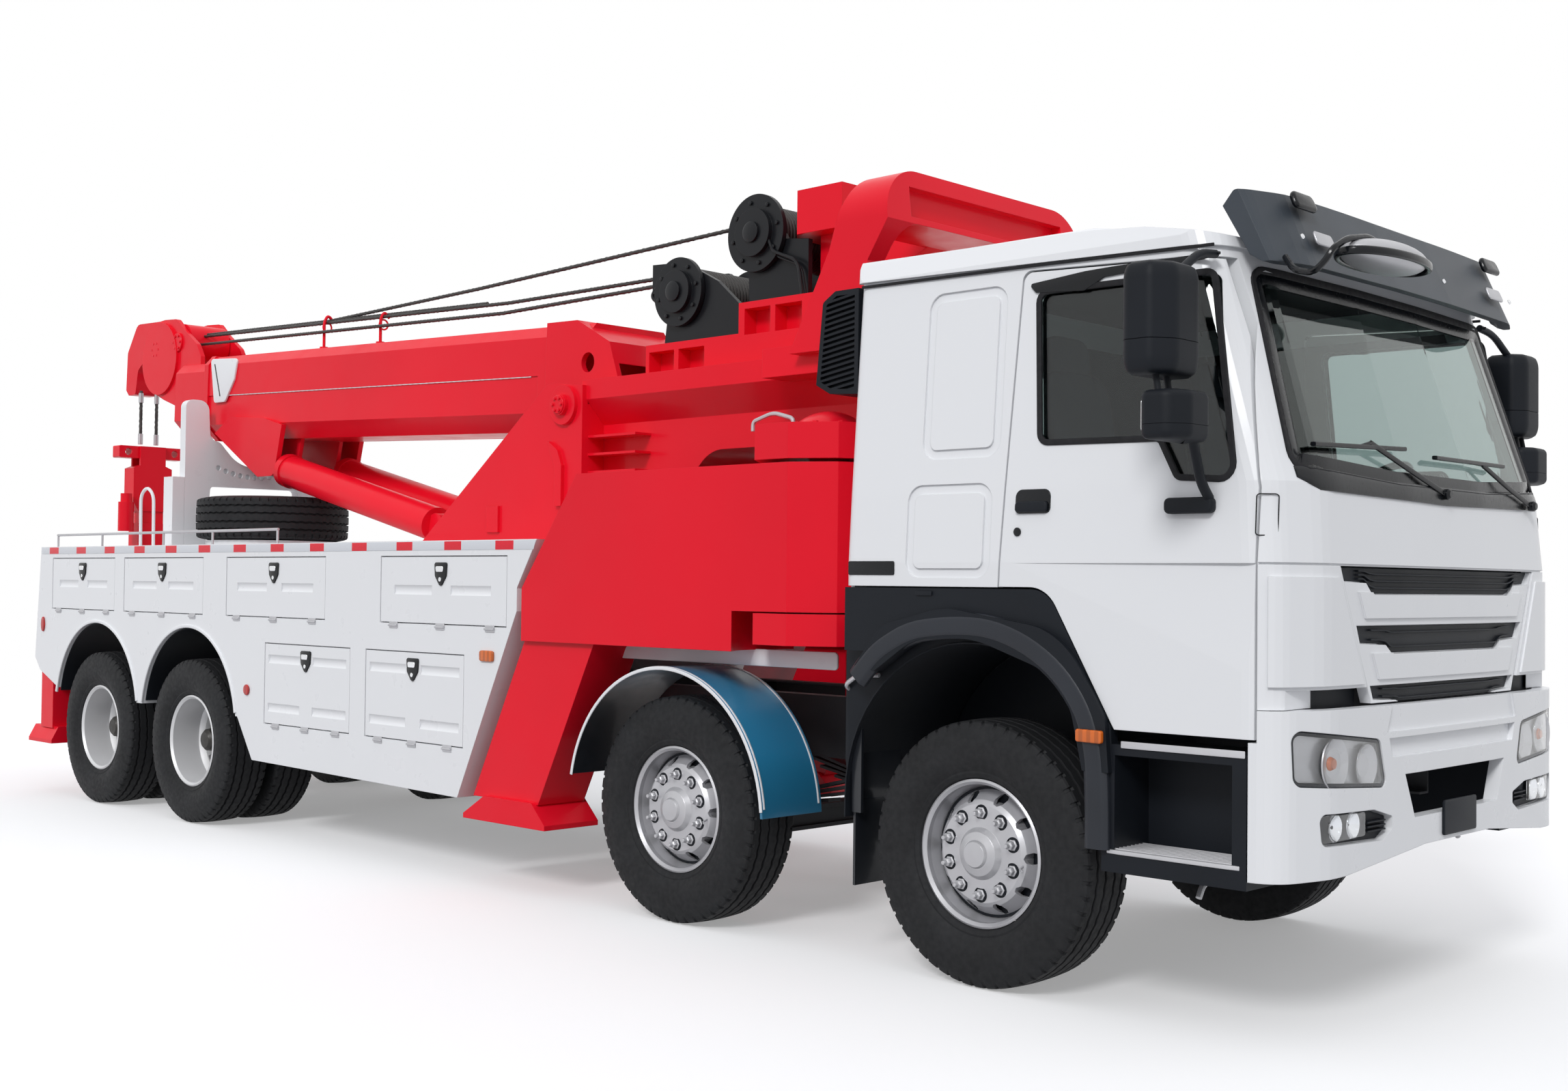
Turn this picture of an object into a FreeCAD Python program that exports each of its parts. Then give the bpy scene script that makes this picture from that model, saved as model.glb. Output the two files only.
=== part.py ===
"""Heavy 8x4 recovery truck: sleeper cab, tool body, fixed boom turret, telescopic boom, swing-out
front outriggers, rear jacks and a folding underlift.

Lengths are millimetres. Every station X is measured from the first axle, forwards positive, and save()
moves the finished piece to the middle of the overall length. Y is to the left, Z is up from the ground.
"""
import FreeCAD, Part
import math
import os

from FreeCAD import Vector

# ---------------------------------------------------------------- driving dimensions
FRONT_END = 1455
OVERALL_LENGTH = 11315
FRAME_ORIGIN = FRONT_END - OVERALL_LENGTH / 2  # station of the row frame's origin
HALF_WIDTH = 1250

AXLES = (0, -1800, -6410, -7760)  # stations of the four axles
HUB_Z = 536
TYRE_R = 536
TYRE_W = 315
STEER_TRACK_HALF = 1015
DUAL_TRACK_HALF = 915
DUAL_SPACING = 350
KINGPIN_Y = 860

RAIL_Y = 430
RAIL_BOTTOM = 760
RAIL_TOP = 1060

CAB_REAR = -650
CAB_FLOOR = 1440
CAB_WALL = 50
DOOR_GAP = 8

DECK_TOP = 1820
BODY_REAR = -8720
SPARE = (-7210, -200)  # middle of the spare tyre, which lies on a round seat
SPARE_Z = DECK_TOP + 55

PIVOT = (-3400, 2600)  # boom pivot: station, height
BOOM_RISE = 2.2  # degrees that the stowed boom climbs towards its head
BOOM_HALF = 320
BOOM_TOP = 505  # above the pivot, square to the boom
BOOM_BOTTOM = -120
BOOM_TIP = 4655  # length from pivot to the mouth of the outer section
BOOM_GAP = 8
LIFT_FOOT = (-5030, 1950)
LIFT_EYE = (-7060, 2410)

NECK_REAR = -3290
TAIL_CLEAR = -3015  # the boom's tail swings down between the neck's side plates as far as this
MAST = -9600  # station of the folded underlift
CROSSBAR_Z = 2640
CROSSBAR_HALF = 50

POST = (-980, -980)  # outrigger swing post, right side
LEG_LEAN = math.radians(27)

PIN_GAP = 1.5


# ---------------------------------------------------------------- shape helpers
def outline(points, place):
    """Closed wire through the points. A point (u, v, r) has its corner rounded with radius r."""
    corners = []
    for i, point in enumerate(points):
        here = Vector(point[0], point[1], 0)
        radius = point[2] if len(point) > 2 else 0
        before = points[i - 1]
        after = points[(i + 1) % len(points)]
        back = (Vector(before[0], before[1], 0) - here).normalize()
        on = (Vector(after[0], after[1], 0) - here).normalize()
        if not radius:
            corners.append((here, None, here))
            continue
        half = back.getAngle(on) / 2
        reach = radius / math.tan(half)
        middle = here + (back + on).normalize() * (radius / math.sin(half) - radius)
        corners.append((here + back * reach, middle, here + on * reach))
    edges = []
    for i, (start, middle, end) in enumerate(corners):
        if middle is not None:
            edges.append(Part.Arc(place(start), place(middle), place(end)).toShape())
        following = corners[(i + 1) % len(corners)][0]
        if (following - end).Length > 1e-6:
            edges.append(Part.makeLine(place(end), place(following)))
    return Part.Wire(edges)


def side_prism(points, y0, y1):
    """Outline in side view (station, height), carried across from y0 to y1."""
    wire = outline(points, lambda p: Vector(p.x, y0, p.y))
    return Part.Face(wire).extrude(Vector(0, y1 - y0, 0))


def front_prism(points, x0, x1):
    """Outline in front view (y, height), carried along from x0 to x1."""
    wire = outline(points, lambda p: Vector(x0, p.x, p.y))
    return Part.Face(wire).extrude(Vector(x1 - x0, 0, 0))


def plan_prism(points, z0, z1):
    """Outline in plan (station, y), carried up from z0 to z1."""
    wire = outline(points, lambda p: Vector(p.x, p.y, z0))
    return Part.Face(wire).extrude(Vector(0, 0, z1 - z0))


def box(x0, x1, y0, y1, z0, z1):
    return Part.makeBox(x1 - x0, y1 - y0, z1 - z0, Vector(x0, y0, z0))


def rod(radius, start, end):
    """Cylinder between two points."""
    start = Vector(*start)
    along = Vector(*end) - start
    return Part.makeCylinder(radius, along.Length, start, along)


def turned(profile, station, y, side):
    """Ring turned about a hub line. The profile is (radius, distance outboard of y)."""
    def place(p):
        return Vector(station, y + side * p.y, HUB_Z + p.x)

    face = Part.Face(outline(profile, place))
    return face.revolve(Vector(station, 0, HUB_Z), Vector(0, 1, 0), 360)


def fused(shapes):
    shapes = list(shapes)
    return shapes[0].multiFuse(shapes[1:]).removeSplitter() if len(shapes) > 1 else shapes[0]


def cut(shape, *tools):
    return shape.cut(list(tools)).removeSplitter()


def mirrored(shape):
    return shape.mirror(Vector(0, 0, 0), Vector(0, 1, 0))


def both(shape):
    """The right-hand piece and its left-hand mirror image."""
    return [shape, mirrored(shape)]


def save(name, *pieces):
    """Write one node, moved from axle stations to the row frame."""
    solids = [solid for piece in pieces for solid in piece.Solids]
    shape = solids[0] if len(solids) == 1 else Part.makeCompound(solids)
    shape = shape.copy()
    shape.translate(Vector(-FRAME_ORIGIN, 0, 0))
    shape.exportStep("parts/" + name + ".step")


# ---------------------------------------------------------------- wheels and axles
RIM_R = 298
SEAT_R = 286
WELL_R = 252
HALF_RIM = 128


def tyre_ring(station, y, side):
    half = TYRE_W / 2
    profile = [
        (RIM_R + 1, -HALF_RIM + 6),
        (400, -half),
        (470, -half),
        (TYRE_R, -half + 34),
        (TYRE_R, half - 34),
        (470, half),
        (400, half),
        (RIM_R + 1, HALF_RIM - 6),
    ]
    return turned(profile, station, y, side)


def hand_holes(station, reach, y0, y1, count, size):
    """Octagonal hand holes in a wheel disc, spaced round the hub."""
    holes = []
    for i in range(count):
        angle = 2 * math.pi * i / count
        x = station + reach * math.cos(angle)
        z = HUB_Z + reach * math.sin(angle)
        eighths = [math.pi * k / 4 for k in range(8)]
        ring = [(x + size * math.cos(turn), z + size * math.sin(turn)) for turn in eighths]
        holes.append(side_prism(ring, y0, y1))
    return holes


def steer_wheel(station, side):
    """Rim, bulging disc, hub and brake drum of a front wheel."""
    y = side * STEER_TRACK_HALF
    profile = [
        (0, 152),
        (60, 150),
        (88, 138),
        (105, 116),
        (196, 112),
        (214, 98),
        (250, 42),
        (262, 30),
        (SEAT_R - 10, 90),
        (SEAT_R - 10, HALF_RIM - 14),
        (RIM_R - 10, HALF_RIM),
        (RIM_R, HALF_RIM - 6),
        (SEAT_R, HALF_RIM - 28),
        (WELL_R + 22, 20),
        (WELL_R + 22, -60),
        (SEAT_R, -HALF_RIM + 28),
        (RIM_R, -HALF_RIM + 6),
        (RIM_R - 10, -HALF_RIM),
        (SEAT_R - 12, -HALF_RIM + 20),
        (WELL_R + 8, -60),
        (WELL_R + 8, 12),
        (238, 40),
        (206, 86),
        (206, -90),
        (0, -90),
    ]
    wheel = turned(profile, station, y, side)
    return cut(wheel, *hand_holes(station, 228, y + side * 20, y + side * 110, 10, 24))


def dual_wheel(station, side):
    """Twin rims on one hub: the discs meet in the middle, so the outer dish is deep."""
    y = side * DUAL_TRACK_HALF
    out = DUAL_SPACING / 2
    profile = [
        (0, 214),
        (52, 208),
        (70, 190),
        (84, 96),
        (122, 84),
        (128, 24),
        (200, 22),
        (222, 34),
        (240, out - 96),
        (SEAT_R - 12, out - 70),
        (SEAT_R - 12, out + HALF_RIM - 14),
        (RIM_R - 10, out + HALF_RIM),
        (RIM_R, out + HALF_RIM - 6),
        (SEAT_R, out + HALF_RIM - 28),
        (SEAT_R, out - HALF_RIM + 28),
        (RIM_R, out - HALF_RIM + 6),
        (RIM_R - 16, out - HALF_RIM - 2),
        (RIM_R - 16, -out + HALF_RIM + 2),
        (RIM_R, -out + HALF_RIM - 6),
        (SEAT_R, -out + HALF_RIM - 28),
        (SEAT_R, -out - HALF_RIM + 28),
        (RIM_R, -out - HALF_RIM + 6),
        (RIM_R - 10, -out - HALF_RIM),
        (SEAT_R - 12, -out - HALF_RIM + 20),
        (SEAT_R - 12, -40),
        (222, -22),
        (206, -22),
        (206, -260),
        (0, -260),
    ]
    wheel = turned(profile, station, y, side)
    return cut(wheel, *hand_holes(station, 222, y - side * 40, y + side * 70, 10, 22))


def make_wheels():
    for number, station in enumerate(AXLES, 1):
        for word, side in (("right", -1), ("left", 1)):
            if number <= 2:
                save(f"wheel_{number}_{word}", steer_wheel(station, side))
                save(f"tyre_{number}_{word}", tyre_ring(station, side * STEER_TRACK_HALF, side))
                continue
            save(f"wheel_{number}_{word}", dual_wheel(station, side))
            rings = [
                tyre_ring(station, side * (DUAL_TRACK_HALF + step), side)
                for step in (DUAL_SPACING / 2, -DUAL_SPACING / 2)
            ]
            save(f"tyre_{number}_{word}", *rings)


def knuckle(station):
    """Stub flange, kingpin boss and steering arm of a right-hand steered wheel."""
    drum_back = -STEER_TRACK_HALF + 90
    flange = rod(150, (station, drum_back + 5, HUB_Z), (station, drum_back + 17, HUB_Z))
    ears = [
        box(station - 50, station + 50, drum_back + 5, -KINGPIN_Y + 40, z, z + 36)
        for z in (HUB_Z - 110, HUB_Z + 74)
    ]
    pin = rod(25, (station, -KINGPIN_Y, HUB_Z - 100), (station, -KINGPIN_Y, HUB_Z + 100))
    arm = box(station - 230, station - 40, drum_back + 5, drum_back + 45, HUB_Z - 110, HUB_Z - 80)
    return fused([flange, pin, arm] + ears)


def beam_axle(station):
    """Dropped I-beam with spring seats and an eye round each kingpin."""
    inner = KINGPIN_Y - 20
    face = [
        (-inner, HUB_Z - 66), (-inner, HUB_Z + 66), (-inner + 130, HUB_Z + 66, 40),
        (-inner + 240, HUB_Z - 50, 60), (inner - 240, HUB_Z - 50, 60), (inner - 130, HUB_Z + 66, 40),
        (inner, HUB_Z + 66), (inner, HUB_Z - 66), (inner - 150, HUB_Z - 66, 40),
        (inner - 270, HUB_Z - 170, 60), (-inner + 270, HUB_Z - 170, 60), (-inner + 150, HUB_Z - 66, 40),
    ]
    beam = front_prism(face, station - 34, station + 34)
    flanges = [
        box(station - 55, station + 55, -inner + 290, inner - 290, z, z + 20)
        for z in (HUB_Z - 170, HUB_Z - 70)
    ]
    eyes = [rod(40, (station, y, HUB_Z - 66), (station, y, HUB_Z + 66)) for y in (-KINGPIN_Y, KINGPIN_Y)]
    bores = [
        rod(25 + PIN_GAP, (station, y, HUB_Z - 99), (station, y, HUB_Z + 99))
        for y in (-KINGPIN_Y, KINGPIN_Y)
    ]
    return cut(fused([beam] + flanges + eyes), *bores)


def leaf_spring(station, y, width, half_length, low, high, leaves):
    """Stack of leaves, each shorter than the one above it, bowed down in the middle."""
    stack = []
    thick = 16
    for i in range(leaves):
        reach = half_length * (1 - 0.16 * i)
        seat = low - thick * i
        tip = seat + (high - low) * (reach / half_length) ** 2
        top = [(station - reach, tip), (station - 60, seat), (station + 60, seat), (station + reach, tip)]
        bottom = [(x, z - thick) for x, z in reversed(top)]
        stack.append(side_prism(top + bottom, y - width / 2, y + width / 2))
    return fused(stack)


def make_steered_axles():
    pieces = []
    for station in AXLES[:2]:
        beam = beam_axle(station)
        springs = both(leaf_spring(station, -RAIL_Y + 20, 90, 680, HUB_Z + 34, 720, 4))
        seats = both(box(station - 90, station + 90, -RAIL_Y - 30, -RAIL_Y + 70, HUB_Z - 60, HUB_Z - 30))
        hangers = []
        for end in (-680, 680):
            eye = box(station + end - 30, station + end + 30, -RAIL_Y - 20, -RAIL_Y + 60, 690, RAIL_BOTTOM)
            hangers += both(eye)
        pieces.append(fused([beam] + springs + seats + hangers))
    save("steered_axles", *pieces)
    for number, station in enumerate(AXLES[:2], 1):
        save(f"knuckle_{number}_right", knuckle(station))
        save(f"knuckle_{number}_left", mirrored(knuckle(station)))


def make_drive_axles():
    pieces = []
    inner = DUAL_TRACK_HALF - 264
    middle = (AXLES[2] + AXLES[3]) / 2
    for station in AXLES[2:]:
        tube = rod(70, (station, -inner, HUB_Z), (station, inner, HUB_Z))
        bowl = Part.makeSphere(210, Vector(station, 0, HUB_Z))
        nose = rod(95, (station, 0, HUB_Z + 20), (station + 330, 0, HUB_Z + 60))
        pads = both(box(station - 80, station + 80, -RAIL_Y - 50, -RAIL_Y + 60, HUB_Z + 50, HUB_Z + 110))
        pieces += [tube, bowl, nose] + pads
    half = (AXLES[2] - AXLES[3]) / 2
    for side in (-1, 1):
        y = side * (RAIL_Y + 5)
        upper = [
            (middle - half - 60, HUB_Z + 100), (middle - 140, HUB_Z + 190), (middle + 140, HUB_Z + 190),
            (middle + half + 60, HUB_Z + 100), (middle + half + 60, HUB_Z + 78), (middle + 160, HUB_Z + 60),
            (middle - 160, HUB_Z + 60), (middle - half - 60, HUB_Z + 78),
        ]
        pieces.append(side_prism(upper, y - 50, y + 50))
        pieces.append(box(middle - 130, middle + 130, y - 60, y + 60, HUB_Z - 20, RAIL_BOTTOM))
    trunnion = rod(60, (middle, -RAIL_Y, HUB_Z + 20), (middle, RAIL_Y, HUB_Z + 20))
    link = rod(55, (AXLES[3] + 300, 0, HUB_Z + 55), (AXLES[2] - 180, 0, HUB_Z + 40))
    shaft = rod(65, (AXLES[2] + 300, 0, HUB_Z + 55), (-2900, 0, 700))
    save("drive_axles", fused(pieces + [trunnion, link, shaft]))


# ---------------------------------------------------------------- chassis
def make_chassis():
    """Two built-up rails, a web plate with a flange plate along each edge, and the members between."""
    front, rear = 1150, -8600
    plate, flange = 10, 85
    web = box(rear, front, -RAIL_Y, -RAIL_Y + plate, RAIL_BOTTOM + plate, RAIL_TOP - plate)
    rails = both(web)
    for z in (RAIL_BOTTOM, RAIL_TOP - plate):
        rails += both(box(rear, front, -RAIL_Y, -RAIL_Y + flange, z, z + plate))
    inside = RAIL_Y - plate - 1
    members = []
    for x in (980, -2700, -4200, -5600, -7085, -8560):
        members.append(box(x - 40, x + 40, -inside, inside, RAIL_BOTTOM + 20, RAIL_TOP - 20))
    save("chassis_frame", *rails)
    save("frame_members", *members)
    engine = box(-720, 560, -330, 330, 640, 1300)
    radiator = box(1030, 1130, -400, 400, RAIL_TOP + 2, 1380)
    gearbox = rod(200, (-1450, 0, 800), (-715, 0, 800))
    save("engine_block", fused([engine, gearbox]), radiator)


# ---------------------------------------------------------------- cab
# height, station of the nose, half width of the cab at that height
CAB_SECTIONS = ((1084, 1425, 1250), (1700, 1425, 1250), (1985, 1402, 1234), (3010, 1085, 1160))
CORNER_STEP = math.radians(13)


def chorded(points):
    """Replace each rounded corner (u, v, radius) by short chords, so that ruled walls stay flat."""
    ring = []
    for i, (u, v, *rest) in enumerate(points):
        if not rest:
            ring.append((u, v))
            continue
        here = Vector(u, v, 0)
        back = (Vector(*points[i - 1][:2], 0) - here).normalize()
        on = (Vector(*points[(i + 1) % len(points)][:2], 0) - here).normalize()
        half = back.getAngle(on) / 2
        centre = here + (back + on).normalize() * (rest[0] / math.sin(half))
        start = here + back * (rest[0] / math.tan(half)) - centre
        turn = math.pi - 2 * half
        steps = max(2, math.ceil(turn / CORNER_STEP))
        sign = 1 if back.cross(on).z < 0 else -1
        for k in range(steps + 1):
            angle = sign * turn * k / steps
            x = centre.x + start.x * math.cos(angle) - start.y * math.sin(angle)
            y = centre.y + start.x * math.sin(angle) + start.y * math.cos(angle)
            ring.append((x, y))
    return ring


def cab_plan(front, half, z, inset):
    """Ring of points round the cab at one height; only its size changes from height to height."""
    half -= inset
    front -= inset
    rear = CAB_REAR + inset
    points = [
        (rear, -half, 60), (front - 112, -half, 140), (front - 24, -half + 240, 300), (front, -half + 900),
        (front, half - 900), (front - 24, half - 240, 300), (front - 112, half, 140), (rear, half, 60),
    ]
    return [Vector(x, y, z) for x, y in chorded(points)]


def stacked(rings):
    """Solid with flat walls between rings that have the same number of points."""
    faces = [Part.Face(Part.makePolygon(ring + ring[:1])) for ring in (rings[0], rings[-1])]
    for low, high in zip(rings, rings[1:]):
        for i in range(len(low)):
            j = (i + 1) % len(low)
            faces.append(Part.Face(Part.makePolygon([low[i], low[j], high[j], high[i], low[i]])))
    solid = Part.Solid(Part.Shell(faces))
    if solid.Volume < 0:
        solid.reverse()
    return solid


def cab_solid(inset=0, low=1084):
    """Outer form of the cab shrunk by inset: plan sections stacked under a rounded roof."""
    body = stacked([cab_plan(front, half, z, inset) for z, front, half in CAB_SECTIONS])
    roof = [
        (CAB_REAR + inset - 1, low), (CAB_REAR + inset - 1, 3000 - inset, 70), (500, 2985 - inset),
        (1190, 2850 - inset, 60), (1600, 2400), (1600, low),
    ]
    crown = [
        (-1300, low), (-1300, 2500), (-1172 + inset, 2870 - inset), (-1120 + inset, 2990 - inset, 60),
        (0, 3004 - inset), (1120 - inset, 2990 - inset, 60), (1172 - inset, 2870 - inset),
        (1300, 2500), (1300, low),
    ]
    body = body.common(side_prism(roof, -1300, 1300))
    return body.common(front_prism(crown, -700, 1700))


def door_outline(grow):
    """Door in side view, grown all round by grow."""
    g = grow
    return [
        (170 - g, 1604 - g), (395, 1604 - g, 140), (690, 1100 - g), (700, 1084 - g), (1262 + g, 1084 - g),
        (1262 + g, 1960), (1112 + g, 2795 + g, 60), (228 - g, 2835 + g, 40),
    ]


WINDOW = [
    (340, 2160, 40), (870, 2150, 30), (950, 2005, 30), (1180, 1990, 50), (1065, 2745, 40), (300, 2750, 40),
]
SCREEN = [
    (-1090, 2030, 60), (-400, 1995), (400, 1995), (1090, 2030, 60), (1000, 2765, 60), (-1000, 2765, 60),
]
GLASS_SET = 14
GLASS = 7


def inset_outline(points, amount):
    """The same outline drawn in by amount, for a pane that stands clear of its frame."""
    wire = outline(points, lambda p: Vector(p.x, p.y, 0))
    return wire.makeOffset2D(-amount)


# rear, front, lower and upper edge of each field pressed into the sleeper's side
PRESSINGS = ((-206, 112, 2154, 2760), (-268, 84, 1675, 1975))
PRESSING_WIDTH = 38
PRESSING_DEPTH = 9
RIM_PROUD = 14
SLAT_DEPTH = 30
GRILLE_TOP, GRILLE_BOTTOM = 1686, 1194

# half widths and heights of the grille's three openings: outer top, outer bottom, shoulder, inner bottom
GRILLE_SLOTS = (
    ((875, 1690), (858, 1636), (690, 1632), (642, 1590)),
    ((762, 1478), (735, 1412), (540, 1405), (490, 1372)),
    ((660, 1258), (636, 1206), (462, 1200), (430, 1190)),
)


def pressing(rear, front, low, high):
    """Channel round a rectangular field in the cab's side."""
    fields = []
    for grow, radius in ((PRESSING_WIDTH, 70), (0, 34)):
        corners = [(rear - grow, low - grow), (front + grow, low - grow),
                   (front + grow, high + grow), (rear - grow, high + grow)]
        fields.append(side_prism([(x, z, radius) for x, z in corners], -1300, -1100))
    return fields[0].cut(fields[1]).common(cab_solid().cut(cab_solid(PRESSING_DEPTH)))


def door_crease(y=-HALF_WIDTH, depth=14):
    """Wedge between the door's two creases: nothing at the rear, deepest at the front of the upper crease."""
    rear, front = Vector(230, y, 1695), Vector(1275, y + depth, 1695)
    low, out = Vector(1275, y, 1300), Vector(1275, y - depth, 1695)
    faces = [Part.Face(Part.makePolygon([*three, three[0]]))
             for three in ((rear, front, low), (rear, front, out), (front, low, out), (rear, low, out))]
    return Part.Solid(Part.Shell(faces))


def slot_outline(slot):
    """Front view of one grille opening, the same on both sides of the middle."""
    left = [(-y, z) for y, z in slot]
    return left + [(y, z) for y, z in reversed(slot)]


def grille():
    """Opening grille: white slats standing on a back plate, so that the slots between them are deep."""
    sides = [(-884, GRILLE_TOP), (-648, GRILLE_BOTTOM), (648, GRILLE_BOTTOM), (884, GRILLE_TOP)]
    field = front_prism(sides, 1300, 1600)
    face = cab_solid().cut(cab_solid(SLAT_DEPTH)).common(field)
    plate = cab_solid(SLAT_DEPTH).cut(cab_solid(CAB_WALL)).common(field)
    slots = [front_prism(slot_outline(slot), 1300, 1600) for slot in GRILLE_SLOTS]
    slats = face.cut(slots)
    ledges = []
    for upper, lower in zip(GRILLE_SLOTS, GRILLE_SLOTS[1:]):
        middle = (upper[2][1] + lower[0][1]) / 2
        half = lower[0][0] - 60
        face = [(-half - 50, middle + 44), (-half, middle - 52), (half, middle - 52),
                (half + 50, middle + 44)]
        ledges.append(front_prism(face, 1300, 1600))
    groove = cab_solid().cut(cab_solid(8)).common(field)
    return fused([plate, slats.cut(groove.cut(ledges))])


def make_cab():
    outer = cab_solid()
    hollow = cab_solid(CAB_WALL)
    room = hollow.common(box(-700, 1700, -1300, 1300, CAB_FLOOR + 60, 3100))
    under = box(-700, 1700, -1200, 1200, 1000, CAB_FLOOR).common(hollow.fuse(
        box(-700, 0, -1200, 1200, 1000, CAB_FLOOR)))
    doorway = side_prism(door_outline(DOOR_GAP), -1300, -1050)
    lower_side = side_prism(
        [(-700, 1000), (-700, 1602), (395, 1602), (690 - DOOR_GAP, 1100), (690, 1000)], -1300, -1195)
    grille_hole = front_prism([(-657, 1170), (-894, 1692), (894, 1692), (657, 1170)], 1300, 1600)
    grille_hole = grille_hole.fuse(box(1300, 1600, -657, 657, 1000, 1171))
    corner_low = box(1262, 1700, -1300, 1300, 1000, 1188)
    corner_slot = box(1340, 1700, -1300, 1300, 1100, 1255)
    seam = outer.cut(cab_solid(7)).common(box(1272, 1700, -1300, 1300, 1692, 1699))
    screen_hole = front_prism(SCREEN, 1000, 1700)
    shell = outer.cut([room, under, doorway, mirrored(doorway), lower_side, mirrored(lower_side)])
    shell = shell.cut([grille_hole, corner_low, corner_slot, screen_hole, seam])
    for field in PRESSINGS:
        channel = pressing(*field)
        shell = shell.cut([channel, mirrored(channel)])
    rim = cab_solid(-RIM_PROUD).cut(outer)
    rim = rim.common(side_prism([(CAB_REAR, 2890), (1120, 2844), (1120, 2920), (500, 2968), (CAB_REAR, 2984)],
                                -1300, 1300))
    pad_edge = [(-1300, 1267), (-1300, 1650), (-905, 1650), (-728, 1267)]
    pad = cab_solid(-9).cut(outer).common(front_prism(pad_edge, 1306, 1600))
    shell = shell.fuse([rim, pad, mirrored(pad)])
    save("cab_shell", max(shell.Solids, key=lambda s: s.Volume))

    skin = outer.cut(hollow)
    door = skin.common(side_prism(door_outline(0), -1300, -1100))
    door = door.cut([side_prism(WINDOW, -1300, -1000), door_crease()])
    save("cab_door_right", door)
    save("cab_door_left", mirrored(door))
    sheet = cab_solid(GLASS_SET).cut(cab_solid(GLASS_SET + GLASS))
    wire = Part.Face(inset_outline(WINDOW, 3))
    wire.rotate(Vector(0, 0, 0), Vector(1, 0, 0), 90)
    wire.translate(Vector(0, -1100, 0))
    window = sheet.common(wire.extrude(Vector(0, -200, 0)))
    save("door_glass_right", window)
    save("door_glass_left", mirrored(window))
    smaller = [(y * 0.997, z + (4 if z < 2300 else -4), *r) for y, z, *r in SCREEN]
    save("windscreen", sheet.common(front_prism(smaller, 1050, 1700)))
    save("front_flap", grille())


# station and height along the outer and the inner edge of the arch flare
FLARE_OUT = (
    (-560, 1270, 0), (-420, 1440, 160), (-90, 1520, 400), (470, 1440, 330), (672, 1130, 160), (690, 925, 0),
)
FLARE_IN = (
    (575, 925, 0), (520, 1160, 200), (400, 1290, 260), (60, 1400, 500), (-240, 1390, 300), (-452, 1250, 0),
)


def make_cab_trim():
    """Sun visor, dark wheel-arch panels with their flares, and the step wells."""
    low, high = (1325, 1150, 2765), (1205, 1130, 3056)
    band = stacked([cab_plan(*low, 0), cab_plan(*high, 0)])
    inner = stacked([cab_plan(front, half, z, 40) for front, half, z in (low, high)])
    ends = [(1040, 2996), (1084, 3050, 20), (1204, 3050, 30), (1400, 2800), (1400, 2770), (1200, 2775, 30),
            (1150, 2806)]
    visor = band.cut(inner).common(side_prism(ends, -1085, 1085)).cut(cab_solid(-22))
    save("sun_visor", max(visor.Solids, key=lambda s: s.Volume))

    arch_edge = [
        (-640, 1330), (-640, 1596), (392, 1596, 130), (682, 1092), (690, 925), (575, 925), (520, 1160, 200),
        (400, 1290, 260), (60, 1398, 500), (-240, 1385, 300), (-400, 1305), (-520, 1330),
    ]
    band = side_prism(arch_edge, -1245, -1200)
    band = band.cut(side_prism(door_outline(DOOR_GAP), -1300, -1150))
    flare = side_prism(list(FLARE_OUT) + list(FLARE_IN), -1272, -1215)
    flare = flare.cut(side_prism(door_outline(DOOR_GAP), -1300, -1150))
    well = box(645, 1236, -1245, -960, 560, 1030)
    well = well.cut(box(700, 1180, -1300, -1010, 640, 990))
    save("arches_and_steps", *both(fused([band, flare, well])))


LAMP_RECESSES = (
    [(-1170, 925, 40), (-1180, 1122, 40), (-655, 1068, 40), (-600, 888, 30)],
    [(-1048, 712, 30), (-1062, 826, 30), (-700, 816), (-562, 782, 10), (-562, 736, 10), (-632, 700, 30)],
)


def bumper_block(inset):
    return stacked([cab_plan(FRONT_END, HALF_WIDTH, z, inset) for z in (590, 1186)])


def make_front():
    shape = bumper_block(0)
    inner = bumper_block(55)
    shape = shape.cut(inner).common(
        box(1243, 1700, -1300, 1300, 590, 1074).fuse(box(1274, 1700, -1300, 1300, 1070, 1186)))
    arch = front_prism([(-1400, 500), (-1400, 590), (-900, 600), (-300, 655), (300, 655), (900, 600),
                        (1400, 590), (1400, 500)], 1200, 1700)
    intake = front_prism([(-462, 928), (-385, 762), (385, 762), (462, 928)], 1200, 1700)
    rim = bumper_block(0).cut(bumper_block(35))
    recesses = []
    for points in LAMP_RECESSES:
        recesses += both(rim.common(front_prism(points, 1200, 1700)))
    ledge = bumper_block(0).cut(bumper_block(22)).common(
        front_prism([(-585, 1066), (-560, 996), (560, 996), (585, 1066)], 1200, 1700))
    brow = bumper_block(0).cut(bumper_block(12)).common(
        front_prism([(-560, 1190), (-600, 1090), (600, 1090), (560, 1190)], 1200, 1700))
    bumper = cut(shape, arch, intake, ledge, brow, *recesses)
    save("front_bumper", bumper)


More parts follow.
